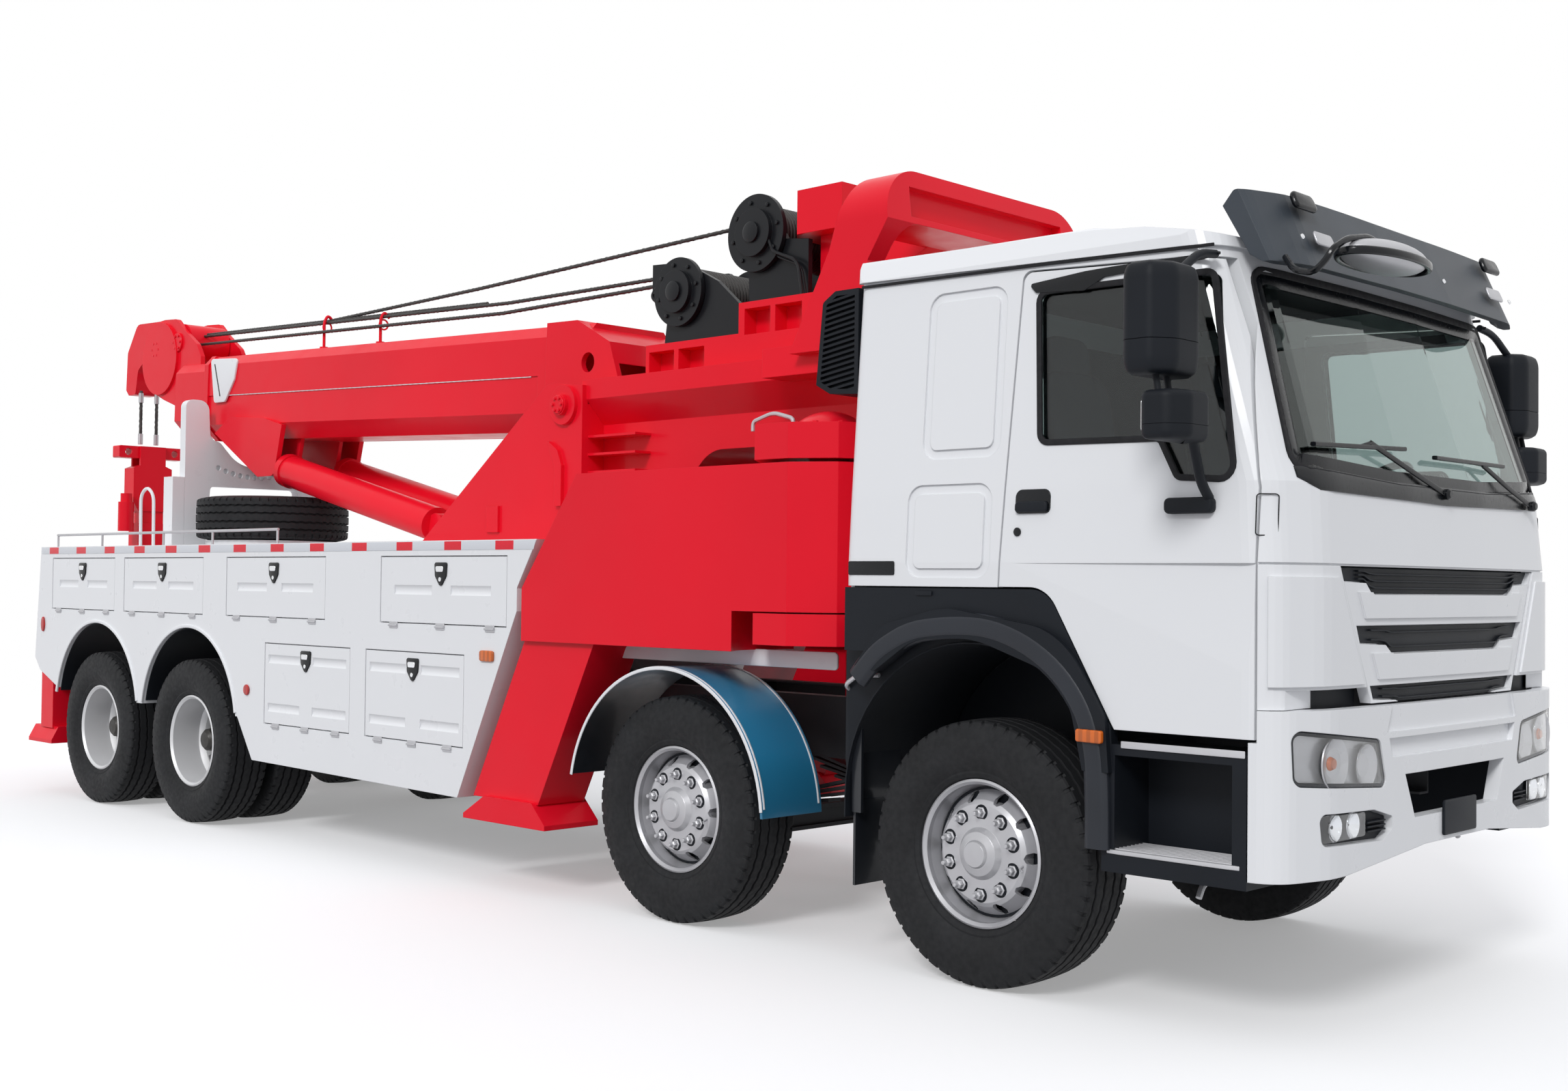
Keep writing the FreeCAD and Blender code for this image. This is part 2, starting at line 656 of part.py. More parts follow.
def make_mirrors():
    """Large and wide-angle mirror on one arm, clamped above the door's window and footed below it."""
    foot = box(915, 1110, -1275, -1235, 1872, 1930)
    stem = rod(18, (1090, -1262, 1925), (1130, -1440, 2130))
    posts = [rod(12, (1100, y, 2270), (1080, y, 2340)) for y in (-1600, -1530)]
    arm = rod(16, (1060, -1200, 2806), (1085, -1470, 2690))
    large = plan_prism([(986, -1640, 40), (1004, -1684, 40), (1110, -1684, 40), (1168, -1600, 60),
                        (1168, -1460, 60), (1120, -1400, 40), (986, -1400, 30)], 2330, 2712)
    small = plan_prism([(1055, -1662, 30), (1165, -1662, 50), (1212, -1580, 50), (1212, -1470, 40),
                        (1165, -1400, 30), (1055, -1400, 20)], 2106, 2276)
    mirror = fused([foot, stem, arm, large, small] + posts)
    mirror = mirror.cut(cab_solid(-2))
    mirror = max(mirror.Solids, key=lambda s: s.Volume)
    save("mirror_right", mirror)
    save("mirror_left", mirrored(mirror))


def make_interior():
    dash_side = [(1010, 1520), (1000, 1830, 60), (1150, 1925, 60), (1330, 1925), (1330, 1520)]
    dash = side_prism(dash_side, -1120, 1120)
    column = rod(35, (1060, 600, 1700), (800, 600, 2010))
    wheel = Part.makeTorus(215, 18, Vector(795, 600, 2015), Vector(-0.64, 0, 0.77))
    spoke = rod(10, (795 + 160, 600 , 2015 + 132), (795 - 160, 600, 2015 - 132))
    pieces = [dash.common(cab_solid(58)), fused([column, spoke, wheel])]
    chairs = []
    for y in (-600, 600):
        cushion = box(150, 640, y - 250, y + 250, CAB_FLOOR + 62, 1900)
        back = side_prism([(60, 1700), (-60, 2500, 40), (60, 2500, 40), (230, 1880)], y - 240, y + 240)
        chairs.append(fused([cushion, back]))
    bunk = box(-590, -170, -1100, 1100, CAB_FLOOR + 62, 1880)
    save("cab_interior", bunk, *chairs, *pieces)


LOUVRE_PITCH = 24


def make_guards():
    """Fenders of the two steered axles and the louvred air intake behind the cab."""
    flap = box(-656, -644, -1160, -860, 330, 690)
    curve = [(-660, 640), (-668, 1100, 60), (-560, 1262, 40), (-470, 1262), (-470, 1248), (-552, 1248, 34),
             (-652, 1096, 60), (-646, 640)]
    guard = side_prism(curve, -1165, -860)
    cheek = side_prism([(-660, 640), (-668, 1100, 60), (-560, 1262, 40), (-510, 1262), (-510, 1225),
                        (-610, 1080, 60), (-610, 640)], -1165, -1150)
    station = AXLES[1]
    ring = rod(675, (station, -1235, HUB_Z), (station, -850, HUB_Z))
    below = [box(station - 700, station + 700, -1300, -800, -200, HUB_Z + 30),
             box(station - 700, station, -1300, -800, -200, HUB_Z + 120)]
    ring = ring.cut([rod(661, (station, -1300, HUB_Z), (station, -800, HUB_Z)), *below])
    save("mudguards", *both(fused([guard, cheek, flap])), *both(ring))

    side = [(-908, 2478), (-872, 2836, 20), (-800, 2880, 20), (-664, 2880), (-664, 2424), (-826, 2434, 20)]
    duct = side_prism(side, -1150, -900)
    frame = Part.Face(inset_outline(side, 22))
    frame.rotate(Vector(0, 0, 0), Vector(1, 0, 0), 90)
    frame.translate(Vector(0, -1120, 0))
    field = frame.extrude(Vector(0, -60, 0))
    slats = []
    for k in range(-4, 22):
        z = 2420 + LOUVRE_PITCH * k
        slats.append(side_prism([(-920, z), (-920, z + 13), (-660, z + 53), (-660, z + 40)], -1200, -1126))
    louvres = [slat.common(field) for slat in slats]
    save("air_intake", cut(duct, *[slot for slot in louvres if slot.Volume > 1]))


# ---------------------------------------------------------------- tool body
# station of the rear edge, front edge, lower edge, upper edge of each locker door on one side
LOCKERS = (
    (-8510, -7500, 1370, 1732),
    (-7345, -6226, 1370, 1732),
    (-5912, -4745, 1370, 1732),
    (-4152, -2990, 1370, 1732),
    (-5418, -4466, 720, 1205),
    (-4294, -3355, 720, 1205),
)
TALL_DOOR = 400  # a door at least this high has two rows of swages
SWAGE_HALF = 26
SWAGE_DEPTH = 10


def locker_door(rear, front, low, high):
    """Flat door with round-bottomed swages pressed in on both sides of the latch."""
    face = -HALF_WIDTH + 2
    panel = box(rear, front, face, face + 27, low, high)
    middle = (rear + front) / 2
    reach = (front - rear) / 2
    shares, far_share = ((0.5,), 0.77) if high - low < TALL_DOOR else ((0.2, 0.81), 0.92)
    radius = (SWAGE_HALF**2 + SWAGE_DEPTH**2) / (2 * SWAGE_DEPTH)
    swages = []
    for share in shares:
        z = low + share * (high - low)
        for side in (-1, 1):
            start, end = (Vector(middle + side * k * reach, face + SWAGE_DEPTH - radius, z)
                          for k in (0.15, far_share))
            swages.append(rod(radius, start, end))
    return cut(panel, *swages)


def make_body():
    side = [(-8795, 1000), (BODY_REAR, DECK_TOP), (-2740, DECK_TOP), (-2900, 1570), (-2900, 1450),
            (-3395, 450), (-5560, 480), (-5750, 737), (-8290, 755), (-8700, 905)]
    shell = side_prism(side, -HALF_WIDTH, HALF_WIDTH)
    tunnel = box(-8900, -2600, -560, 560, 300, 1500)
    arches = [rod(645, (station, -1300, HUB_Z + 98), (station, 1300, HUB_Z + 98)) for station in AXLES[2:]]
    jack_wells = both(box(-8742, -8534, -1226, -1014, 800, 1560))
    insets = []
    for rear, front, low, high in LOCKERS:
        insets += both(box(rear - 6, front + 6, -1300, -HALF_WIDTH + 30, low - 6, high + 6))
    body = cut(shell, tunnel, *arches, *jack_wells, *insets)
    save("tool_body", body, rod(470, (*SPARE, DECK_TOP), (*SPARE, SPARE_Z - 1)))
    doors = []
    for rear, front, low, high in LOCKERS:
        doors += both(locker_door(rear, front, low, high))
    save("locker_doors", *doors)

    saddle = [
        (-566, DECK_TOP + 1), (-566, 2932, 60), (-384, 2932, 80), (-368, 2644, 60), (-290, 2625, 60),
        (-130, 2450, 260), (130, 2450, 260), (290, 2625, 60), (368, 2644, 60), (384, 2932, 80),
        (566, 2932, 60), (566, DECK_TOP + 1), (400, DECK_TOP + 1), (362, 2290, 30), (-362, 2290, 30),
        (-400, DECK_TOP + 1),
    ]
    plate = front_prism(saddle, -7930, -7850)
    holes = []
    for y in range(-300, 301, 60):
        height = 2372 + 60 * (y / 300) ** 2
        holes.append(rod(20, (-8000, y, height), (-7800, y, height)))
    boxes = both(box(-7990, -7850, -660, -567, DECK_TOP + 1, 2350))
    save("boom_cradle", cut(fused([plate] + boxes), *holes))
    half = TYRE_W / 2
    ring = [(RIM_R + 1, -half + 30), (420, -half), (TYRE_R, -half + 40), (TYRE_R, half - 40), (420, half),
            (RIM_R + 1, half - 30)]
    x, y = SPARE
    face = Part.Face(outline(ring, lambda p: Vector(x + p.x, y, SPARE_Z + half + p.y)))
    save("spare_tyre", face.revolve(Vector(x, y, 0), Vector(0, 0, 1), 360))


# ---------------------------------------------------------------- wrecker superstructure
def open_bays(x0, x1, low, high, count, half):
    """Pockets that leave upright ribs along both sides of a pedestal."""
    pitch = (x1 - x0) / count
    pockets = []
    for k in range(count):
        pockets += both(box(x0 + k * pitch + 18, x0 + (k + 1) * pitch - 18, -half - 1, -half + 90, low, high))
    return pockets


def portal():
    """Rope portal behind the cab: leaning legs and a channel-shaped beam with rounded shoulders."""
    front = [(-770, 2700), (-770, 3520, 230), (770, 3520, 230), (770, 2700), (660, 2700), (660, 3270, 110),
             (-660, 3270, 110), (-660, 2700)]
    lean = [(-1440, 2700), (-1190, 3160), (-1110, 3400), (-1080, 3530), (-860, 3530), (-830, 3270),
            (-950, 3090), (-960, 2700)]
    frame = front_prism(front, -1500, -800).common(side_prism(lean, -800, 800))
    channel = front_prism([(-600, 3300), (-600, 3440), (600, 3440), (600, 3300)], -905, -800)
    return frame.cut(channel)


def make_turret():
    plate = [(-4820, DECK_TOP + 1), (-3560, 2735, 120), (-3250, 2705), (-3250, DECK_TOP + 1)]
    brackets = both(side_prism(plate, -550, -510))
    tabs = both(side_prism([(-3500, 2330), (-3520, 2400), (-3440, 2350, 30), (-3400, 2260), (-3400, 2030),
                            (-3460, 2030), (-3460, 2260)], -575, -548))
    tabs += both(side_prism([(-4110, 1890), (-4110, 2045), (-3996, 2045), (-3996, 1890)], -566, -548))
    profile = [
        (NECK_REAR, 1900), (NECK_REAR, 2600), (-760, 2600), (-760, RAIL_TOP + 1), (-1400, RAIL_TOP + 1),
        (-1400, 2310, 120), (-2380, 2310, 240), (-2800, 1900),
    ]
    web = side_prism(profile, -390, 390)
    cap = front_prism([(-520, 2625), (-520, 2735), (520, 2735), (520, 2625), (390, 2490), (-390, 2490)],
                      NECK_REAR, -760)
    neck = fused([web, cap]).cut(box(NECK_REAR - 10, TAIL_CLEAR, -345, 345, 1800, 2800))
    ribs = []
    for z in (2210, 2310, 2410):
        ribs += both(box(-3260, -2850, -505, -380, z, z + 14))
    tie = both(box(-3290, -3250, -550, -346, 1900, 2600))
    cross = box(-4400, -3260, -515, 515, DECK_TOP + 1, DECK_TOP + 120)
    pins = both(rod(60, (PIVOT[0], -600, PIVOT[1]), (PIVOT[0], -335, PIVOT[1])))
    bosses = both(rod(112, (PIVOT[0], -575, PIVOT[1]), (PIVOT[0], -548, PIVOT[1])))
    collars = []
    for low, high in ((1335, 1475), (2156, 2315)):
        plan = [(-1318, -980), (-1295, -1105), (-1190, -1245), (-980, -1250), (-790, -1130), (-705, -950),
                (-705, -380), (-1318, -380)]
        collars += both(plan_prism(plan, low, high))
    posts = both(rod(90, (POST[0], POST[1], 1400), (POST[0], POST[1], 2200)))
    domes = both(Part.makeSphere(230, Vector(POST[0], POST[1], 2150)).common(
        box(-1300, -700, -1300, -700, 2300, 2400)))
    low_pedestal = box(-2970, -2235, -330, 330, 2730, 2921)
    high_pedestal = box(-2236, -1500, -330, 330, 2730, 3082)
    bays = open_bays(-2960, -2480, 2765, 2880, 2, 330) + open_bays(-2210, -1760, 2910, 3046, 2, 330)
    beam = box(-1690, -1010, -700, 700, 2610, 2752)
    hood = plan_prism([(-1960, -180), (-1870, -275), (-1800, -275), (-1560, -275), (-1560, 275), (-1800, 275),
                       (-1870, 275), (-1960, 180)], 3405, 3632)
    column = box(-1800, -1520, -170, 170, 3050, 3420)
    strut = side_prism([(-1700, 3080), (-1560, 3080), (-1060, 3300), (-1100, 3400), (-1560, 3440)], -120, 120)
    blocks = [neck, cross, low_pedestal, high_pedestal, beam, portal(), hood, column, strut]
    small = ribs + tabs + tie + pins + bosses + collars + posts + domes
    save("turret", cut(fused(brackets + blocks + small), *bays))


# station and height of each winch drum's axle, its flange radius, and the frame below it in side view
DRUMS = (
    (-2760, 3205, 190,
     ((-2900, 2922), (-2300, 2922), (-2300, 3090), (-2480, 3240), (-2660, 3330), (-2850, 3250))),
    (-2160, 3450, 205,
     ((-2232, 3083), (-1806, 3083), (-1806, 3380), (-1966, 3400), (-2060, 3540), (-2250, 3480))),
)


def make_winches():
    drums = []
    for x, z, radius, frame in DRUMS:
        flanges = both(rod(radius, (x, -290, z), (x, -262, z)))
        hubs = both(rod(radius * 0.62, (x, -318, z), (x, -288, z)))
        cheeks = both(side_prism(list(frame), -255, -225))
        barrel = rod(radius * 0.7, (x, -264, z), (x, 264, z))
        drums.append(fused(flanges + hubs + cheeks + [barrel]))
    guide_side = [(-3040, 3230), (-3040, 3395), (-2860, 3385), (-2740, 3300), (-2740, 3230)]
    guide = fused([
        box(-3040, -2870, -200, 200, 3262, 3290),
        *both(side_prism(guide_side, -224, -196)),
        rod(24, (-3000, -222, 3340), (-3000, 222, 3340)),
    ])
    save("winches", fused([drums[0], guide]), drums[1])


def boom_frame(shape):
    """Move a shape drawn with the pivot at the origin and the boom level onto the stowed boom."""
    shape.rotate(Vector(0, 0, 0), Vector(0, 1, 0), BOOM_RISE)
    shape.translate(Vector(PIVOT[0], 0, PIVOT[1]))
    return shape


def boom_section(inset):
    """Eight-sided boom section in front view, drawn in by inset."""
    half, top, low = BOOM_HALF - inset, BOOM_TOP - inset, BOOM_BOTTOM + inset
    return [(-half, low + 115), (-half, top - 70), (-half + 60, top), (half - 60, top), (half, top - 70),
            (half, low + 115), (half - 110, low), (-half + 110, low)]


def stowed(*points):
    """Points given by station and height with the boom stowed, turned back to the boom's own level frame."""
    turn = math.radians(BOOM_RISE)
    level = []
    for station, height, *radius in points:
        x, z = station - PIVOT[0], height - PIVOT[1]
        along = x * math.cos(turn) - z * math.sin(turn)
        level.append((along, x * math.sin(turn) + z * math.cos(turn), *radius))
    return level


SEAM = 207  # height of the seam along the outer section; below it the side is set in
SEAM_STEP = 8
HOOK_REAR = FRONT_END - OVERALL_LENGTH

HEAD = (
    (-8350, 2722), (-8616, 2927, 60), (-8956, 3028, 80), (-9105, 3084, 60), (-9270, 3300, 120),
    (-9320, 3480, 80), (-9250, 3655, 90), (-8957, 3672, 60), (-8760, 3660, 60), (-8630, 3560, 60),
    (-8420, 3430, 60), (-8350, 3330),
)
SHEAVES = ((-9080, 3440), (-8720, 3470))
HOOK = (
    (-9200, 3700, 60), (-9670, 3716, 90), (-9842, 3490, 60), (HOOK_REAR, 3178), (HOOK_REAR + 50, 3130),
    (-9690, 3130, 30), (-9650, 3330, 60), (-9500, 3420, 60), (-9200, 3400),
)


EAR_PLATES = ((-344, -308), (-171, -143))  # across the truck, outboard and inboard of each lift rod


def make_boom():
    tube = front_prism(boom_section(0), -BOOM_TIP, -100)
    band = both(box(-BOOM_TIP - 1, -560, -BOOM_HALF - 1, -BOOM_HALF + SEAM_STEP, BOOM_BOTTOM - 50, SEAM))
    hollow = front_prism(boom_section(26), -BOOM_TIP - 1, -700)
    root_side = [(-480, BOOM_BOTTOM), (-480, BOOM_TOP + 12), (-200, BOOM_TOP + 14), (95, 380), (185, 158),
                 (110, -100), (0, BOOM_BOTTOM)]
    root = side_prism(root_side, -BOOM_HALF - 6, BOOM_HALF + 6)
    pocket = side_prism([(-330, 90), (-330, 440), (-150, 460), (60, 360), (230, 150), (230, 90)],
                        -BOOM_HALF + 30, BOOM_HALF - 30)
    eye = rod(58, (-90, -700, 268), (-90, 700, 268))
    cheeks = both(rod(100, (0, -500, 0), (0, -BOOM_HALF + 5, 0)))
    collar = front_prism(boom_section(-9), -BOOM_TIP, -BOOM_TIP + 60)
    ear = stowed((-7835, 2690), (-7192, 2340, 40), (-6960, 2340, 60), (-6860, 2700), (-7100, 2760),
                 (-7600, 2800))
    ears = [plate.cut(hollow) for y0, y1 in EAR_PLATES for plate in both(side_prism(ear, y0, y1))]
    bore = rod(60 + PIN_GAP, (0, -700, 0), (0, 700, 0))
    body = cut(fused([tube.cut(band), root, collar]), hollow, pocket, eye)
    outer = cut(fused([body] + cheeks + ears), bore)
    save("boom_outer", boom_frame(outer))

    tube = front_prism(boom_section(26 + BOOM_GAP), -5200, -900)
    hollow = front_prism(boom_section(26 + BOOM_GAP + 22), -5100, -890)
    cheeks = both(side_prism(stowed(*HEAD), -200, -165))
    bosses = both(rod(290, (-5630, -222, 545), (-5630, -198, 545)))
    sheaves = [rod(150, (x, -160, z), (x, 160, z)) for x, z in stowed(*SHEAVES)]
    pins = [rod(40, (x, -196, z), (x, 196, z)) for x, z in stowed(*SHEAVES)]
    nose = box(-5260, -4960, -236, 236, 60, 440)
    hook = side_prism(stowed(*HOOK), -90, 90)
    inner = fused([cut(tube, hollow), nose, hook] + cheeks + bosses + sheaves + pins)
    save("boom_inner", boom_frame(inner))


def make_lift():
    foot = Vector(LIFT_FOOT[0], 0, LIFT_FOOT[1])
    eye = Vector(LIFT_EYE[0], 0, LIFT_EYE[1])
    along = (eye - foot).normalize()
    length = (eye - foot).Length
    barrels, rods = [], []
    for y in (-240, 240):
        shift = Vector(0, y, 0)
        start = foot + shift
        barrel = Part.makeCylinder(112, length - 190, start + along * 60, along)
        gland = Part.makeCylinder(122, 60, start + along * (length - 190), along)
        bore = Part.makeCylinder(66, length, start + along * 200, along)
        lug = rod(84, (foot.x, y - 50, foot.z), (foot.x, y + 50, foot.z))
        barrels.append(cut(fused([barrel, gland, lug]), bore))
        stem = Part.makeCylinder(62, length - 300, start + along * 230, along)
        eye_end = rod(76, (eye.x, y - 45, eye.z), (eye.x, y + 45, eye.z))
        rods.append(fused([stem, eye_end]))
    save("lift_barrels", *barrels)
    save("lift_rods", *rods)


def make_outriggers():
    arm = [(-2860, 1300), (-2860, 1570), (-2430, 2140), (-700, 2140), (-700, 1482), (-1306, 1482),
           (-1306, 1300)]
    body = side_prism(arm, -HALF_WIDTH, -790)
    plan = [(-3000, -1250), (-980, -1250), (-790, -1130), (-710, -950), (-790, -790), (-3000, -790)]
    body = body.common(plan_prism(plan, 1200, 2300))
    body = body.cut(rod(434, (POST[0], POST[1], 1200), (POST[0], POST[1], 1482)))
    slant = math.tan(LEG_LEAN)

    def leg_side(top, low, grow):
        return [(x + (z - 1310) * slant, z) for x, z in
                ((-2862 - grow, low), (-2862 - grow, top), (-2312 + grow, top), (-2312 + grow, low))]

    pocket = side_prism(leg_side(1960, 1200, 7), -1227, -913)
    body = cut(body, pocket, rod(92, (POST[0], POST[1], 1200), (POST[0], POST[1], 2300)))
    save("outrigger_arm_right", body)
    save("outrigger_arm_left", mirrored(body))
    leg = side_prism(leg_side(1930, 470, 0), -1220, -920)
    foot_x = -2862 + (470 - 1310) * slant + 275
    foot = side_prism([(foot_x - 330, 350), (foot_x - 330, 375), (foot_x - 150, 480), (foot_x + 250, 480),
                       (foot_x + 360, 375), (foot_x + 360, 350)], -1245, -895)
    leg = fused([leg, foot])
    save("outrigger_leg_right", leg)
    save("outrigger_leg_left", mirrored(leg))
    jack = box(-8738, -8538, -1220, -1020, 480, 1340)
    pad = front_prism([(-1250, 370), (-1250, 395), (-1200, 490), (-1040, 490), (-960, 395), (-960, 370)],
                      -8880, -8480)
    jack = fused([jack, pad])
    save("rear_jack_right", jack)
    save("rear_jack_left", mirrored(jack))


def make_underlift():
    """Carriage behind the frame, the folded mast, its inner section and the swivelling crossbar on top."""
    carriage = both(box(MAST + 250, -8602, -330, -210, 770, 1050))
    column = box(MAST + 134, MAST + 254, -331, 331, 560, 1200)
    ears = both(box(MAST - 70, MAST + 140, -200, -150, 700, 900))
    save("underlift_post", fused([column] + carriage + ears))
    arm = box(MAST - 80, MAST + 90, -130, 130, 720, 2050)
    arm = cut(arm, box(MAST - 58, MAST + 68, -108, 108, 1000, 2060))
    save("underlift_arm", arm)
    slider = box(MAST - 50, MAST + 60, -100, 100, 1100, 2240)
    shoulder, top = CROSSBAR_Z - 133, CROSSBAR_Z - 105
    block = front_prism([(-120, 2150), (-165, 2230), (-165, shoulder), (-100, top), (100, top),
                         (165, shoulder), (165, 2230), (120, 2150)], MAST - 100, MAST + 70)
    cheeks = [box(MAST + x, MAST + x + 20, -110, 110, 2440, CROSSBAR_Z + CROSSBAR_HALF) for x in (-100, 50)]
    pin = rod(35, (MAST - 90, 0, CROSSBAR_Z), (MAST + 60, 0, CROSSBAR_Z))
    slider = fused([slider, block, pin] + cheeks)
    bar_low, bar_high = CROSSBAR_Z - CROSSBAR_HALF, CROSSBAR_Z + CROSSBAR_HALF
    bar_face = [(-280, bar_low, 12), (-280, bar_high, 12), (280, bar_high, 12), (280, bar_low, 12)]
    bar = front_prism(bar_face, MAST - 75, MAST + 45)
    bores = [rod(30, (MAST - 200, y, CROSSBAR_Z), (MAST + 200, y, CROSSBAR_Z)) for y in (-200, 200)]
    bar = cut(bar, rod(35 + PIN_GAP, (MAST - 200, 0, CROSSBAR_Z), (MAST + 200, 0, CROSSBAR_Z)), *bores)
    save("underlift_slider", slider)
    save("underlift_crossbar", bar)


def main():
    os.makedirs("parts", exist_ok=True)
    make_wheels()
    make_steered_axles()
    make_drive_axles()
    make_chassis()
    make_cab()
    make_cab_trim()
    make_front()
    make_mirrors()
    make_interior()
    make_guards()
    make_body()
    make_turret()
    make_winches()
    make_boom()
    make_lift()
    make_outriggers()
    make_underlift()


main()
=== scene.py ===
# %% [markdown]
# # A heavy recovery truck, dressed for its portrait
# The construction of the truck is loaded first and never changed. This file gives every part its
# finish and adds what a coachbuilder fits last: tyres with tread, lamps, mirrors, wipers, latches,
# seals, ropes and pipes. Each shape is worked out as an array of points, because a formula keeps
# its proportions when the truck changes and is easy to read back later.

import math

import bpy
import numpy as np
from mathutils import Matrix, Vector


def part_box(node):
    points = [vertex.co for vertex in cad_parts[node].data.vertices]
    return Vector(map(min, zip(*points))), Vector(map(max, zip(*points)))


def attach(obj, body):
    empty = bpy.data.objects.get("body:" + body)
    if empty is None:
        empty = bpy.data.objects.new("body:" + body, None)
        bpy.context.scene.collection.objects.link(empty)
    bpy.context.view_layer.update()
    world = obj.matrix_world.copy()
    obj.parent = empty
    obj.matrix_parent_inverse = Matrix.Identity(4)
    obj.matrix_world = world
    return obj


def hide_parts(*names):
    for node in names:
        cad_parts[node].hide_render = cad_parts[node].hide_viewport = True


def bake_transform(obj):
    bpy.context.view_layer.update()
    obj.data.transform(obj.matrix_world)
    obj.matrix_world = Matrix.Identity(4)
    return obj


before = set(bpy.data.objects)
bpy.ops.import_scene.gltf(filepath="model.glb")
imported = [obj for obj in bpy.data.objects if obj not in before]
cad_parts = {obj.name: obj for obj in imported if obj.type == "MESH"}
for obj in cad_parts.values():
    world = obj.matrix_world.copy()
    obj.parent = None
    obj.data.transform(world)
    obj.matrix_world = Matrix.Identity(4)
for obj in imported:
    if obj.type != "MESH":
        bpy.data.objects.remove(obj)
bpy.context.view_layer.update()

# %% [markdown]
# ## Where things are
# The four axles give the stations along the truck. A driver measures from the front axle, so a
# helper turns (distance ahead of the front axle, distance to the left, height) into the truck's
# own frame. All lengths are metres.

# %% Stations
SIDES = (("right", -1), ("left", 1))


def middle(node):
    """Centre of a node's box."""
    low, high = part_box(node)
    return (np.array(low) + np.array(high)) / 2


AXLE_X = [middle(f"tyre_{n}_right")[0] for n in (1, 2, 3, 4)]
TYRE_R = float(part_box("tyre_1_right")[1][2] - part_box("tyre_1_right")[0][2]) / 2


def at(points):
    """Points measured from the front axle, moved to the truck's frame."""
    return np.asarray(points, float) + (AXLE_X[0], 0, 0)


print("axles at", [round(float(x), 3) for x in AXLE_X], "tyre radius", round(TYRE_R, 3))

# %% [markdown]
# ## Surfaces from arrays
# A part of a mesh is kept as four arrays: its points, the corners of its faces one after another,
# how many corners each face has, and a texture position for each corner. Drawing faces one by one
# would take a loop; a grid gives all of them in one step.

# %% Grids


def grid(points, wrap_rows=False, wrap_cols=False):
    """Surface through a (rows, columns, 3) array. Each point is joined to its next neighbours by a
    square face; a wrapped direction also joins the last point to the first. The texture position is
    the share of the way along the columns and the rows."""
    rows, cols = points.shape[:2]
    spans = np.arange(rows - (not wrap_rows)), np.arange(cols - (not wrap_cols))
    i, j = (k.ravel() for k in np.meshgrid(*spans, indexing="ij"))
    di, dj = np.array([0, 0, 1, 1]), np.array([0, 1, 1, 0])
    a, b = i[:, None] + di, j[:, None] + dj
    loops = (a % rows) * cols + b % cols
    uv = np.stack([b / cols, a / rows], -1).reshape(-1, 2)
    return points.reshape(-1, 3), loops.ravel(), np.full(len(loops), 4), uv


def join(parts):
    """One part from several: the corner numbers are raised by the points that come before."""
    parts = list(parts)
    counts = np.cumsum([0] + [len(p[0]) for p in parts])
    return (
        np.concatenate([p[0] for p in parts]),
        np.concatenate([p[1] + c for p, c in zip(parts, counts)]),
        np.concatenate([p[2] for p in parts]),
        np.concatenate([p[3] for p in parts]),
    )


print("a grid of 3 by 4 points has", len(grid(np.zeros((3, 4, 3)))[2]), "faces")

# %% [markdown]
# ## Solids and which way their faces point
# Light needs to know which side of a face is outside. The sign of a solid's volume tells it, so the
# builder never has to think about the order in which an outline was drawn.

# %% Solids


def flipped(part):
    """The same part with each face's corners in the opposite order."""
    points, loops, sizes, uv = part
    start = np.repeat(np.cumsum(sizes) - sizes, sizes)
    size = np.repeat(sizes, sizes)
    order = 2 * start + size - 1 - np.arange(len(loops))
    return points, loops[order], sizes, uv[order]


def outward(part):
    """Turn a closed part's faces outwards. Its volume is the sum, over the face fans, of
    corner . (next corner x corner after that) / 6, and a negative sum means inside out."""
    points, loops, sizes, _ = part
    start = np.repeat(np.cumsum(sizes) - sizes, sizes)
    here = np.arange(len(loops))
    last = start + np.repeat(sizes, sizes) - 1
    fan = (here > start) & (here < last)
    a, b, c = points[loops[start[fan]]], points[loops[here[fan]]], points[loops[here[fan] + 1]]
    volume = np.einsum("ij,ij->i", a, np.cross(b, c)).sum() / 6
    return flipped(part) if volume < 0 else part


def loft(rings):
    """Closed solid through (k, n, 3) rings, with a flat face on the first and the last ring."""
    k, n = rings.shape[:2]
    points, loops, sizes, uv = grid(rings, wrap_cols=True)
    ends = np.concatenate([np.arange(n)[::-1], np.arange(n) + (k - 1) * n])
    uv = np.vstack([uv, np.zeros((2 * n, 2))])
    return outward((points, np.concatenate([loops, ends]), np.append(sizes, [n, n]), uv))


print("a solid through two squares has", len(loft(np.zeros((2, 4, 3)))[2]), "faces")

# %% [markdown]
# ## Mirror images and copies
# A truck has the same fittings on both sides and dozens of equal bolts. They are drawn once and
# moved as whole arrays, which is quicker than drawing them again.

# %% Copies


def mirror(part):
    """The part's image on the truck's other side."""
    points, loops, sizes, uv = flipped(part)
    return points * (1, -1, 1), loops, sizes, uv


def both(part):
    """The part and its mirror image together."""
    return join([part, mirror(part)])


def copies(part, places, turns=None):
    """The part repeated at each place. A turn is a 3x3 matrix that is used before the move."""
    points, loops, sizes, uv = part
    places = np.asarray(places, float).reshape(-1, 3)
    n = len(places)
    turned_points = points[None] if turns is None else np.einsum("nij,pj->npi", np.asarray(turns), points)
    moved = turned_points + places[:, None]
    raised = loops[None] + np.arange(n)[:, None] * len(points)
    return moved.reshape(-1, 3), raised.ravel(), np.tile(sizes, n), np.tile(uv, (n, 1))


def around(centre, radius, count, start=0.0):
    """Places on an upright circle: centre + radius (cos a, 0, sin a), with a = start + 2 pi k / count."""
    a = start + np.arange(count) * 2 * np.pi / count
    return np.asarray(centre, float) + radius * np.stack([np.cos(a), 0 * a, np.sin(a)], 1)


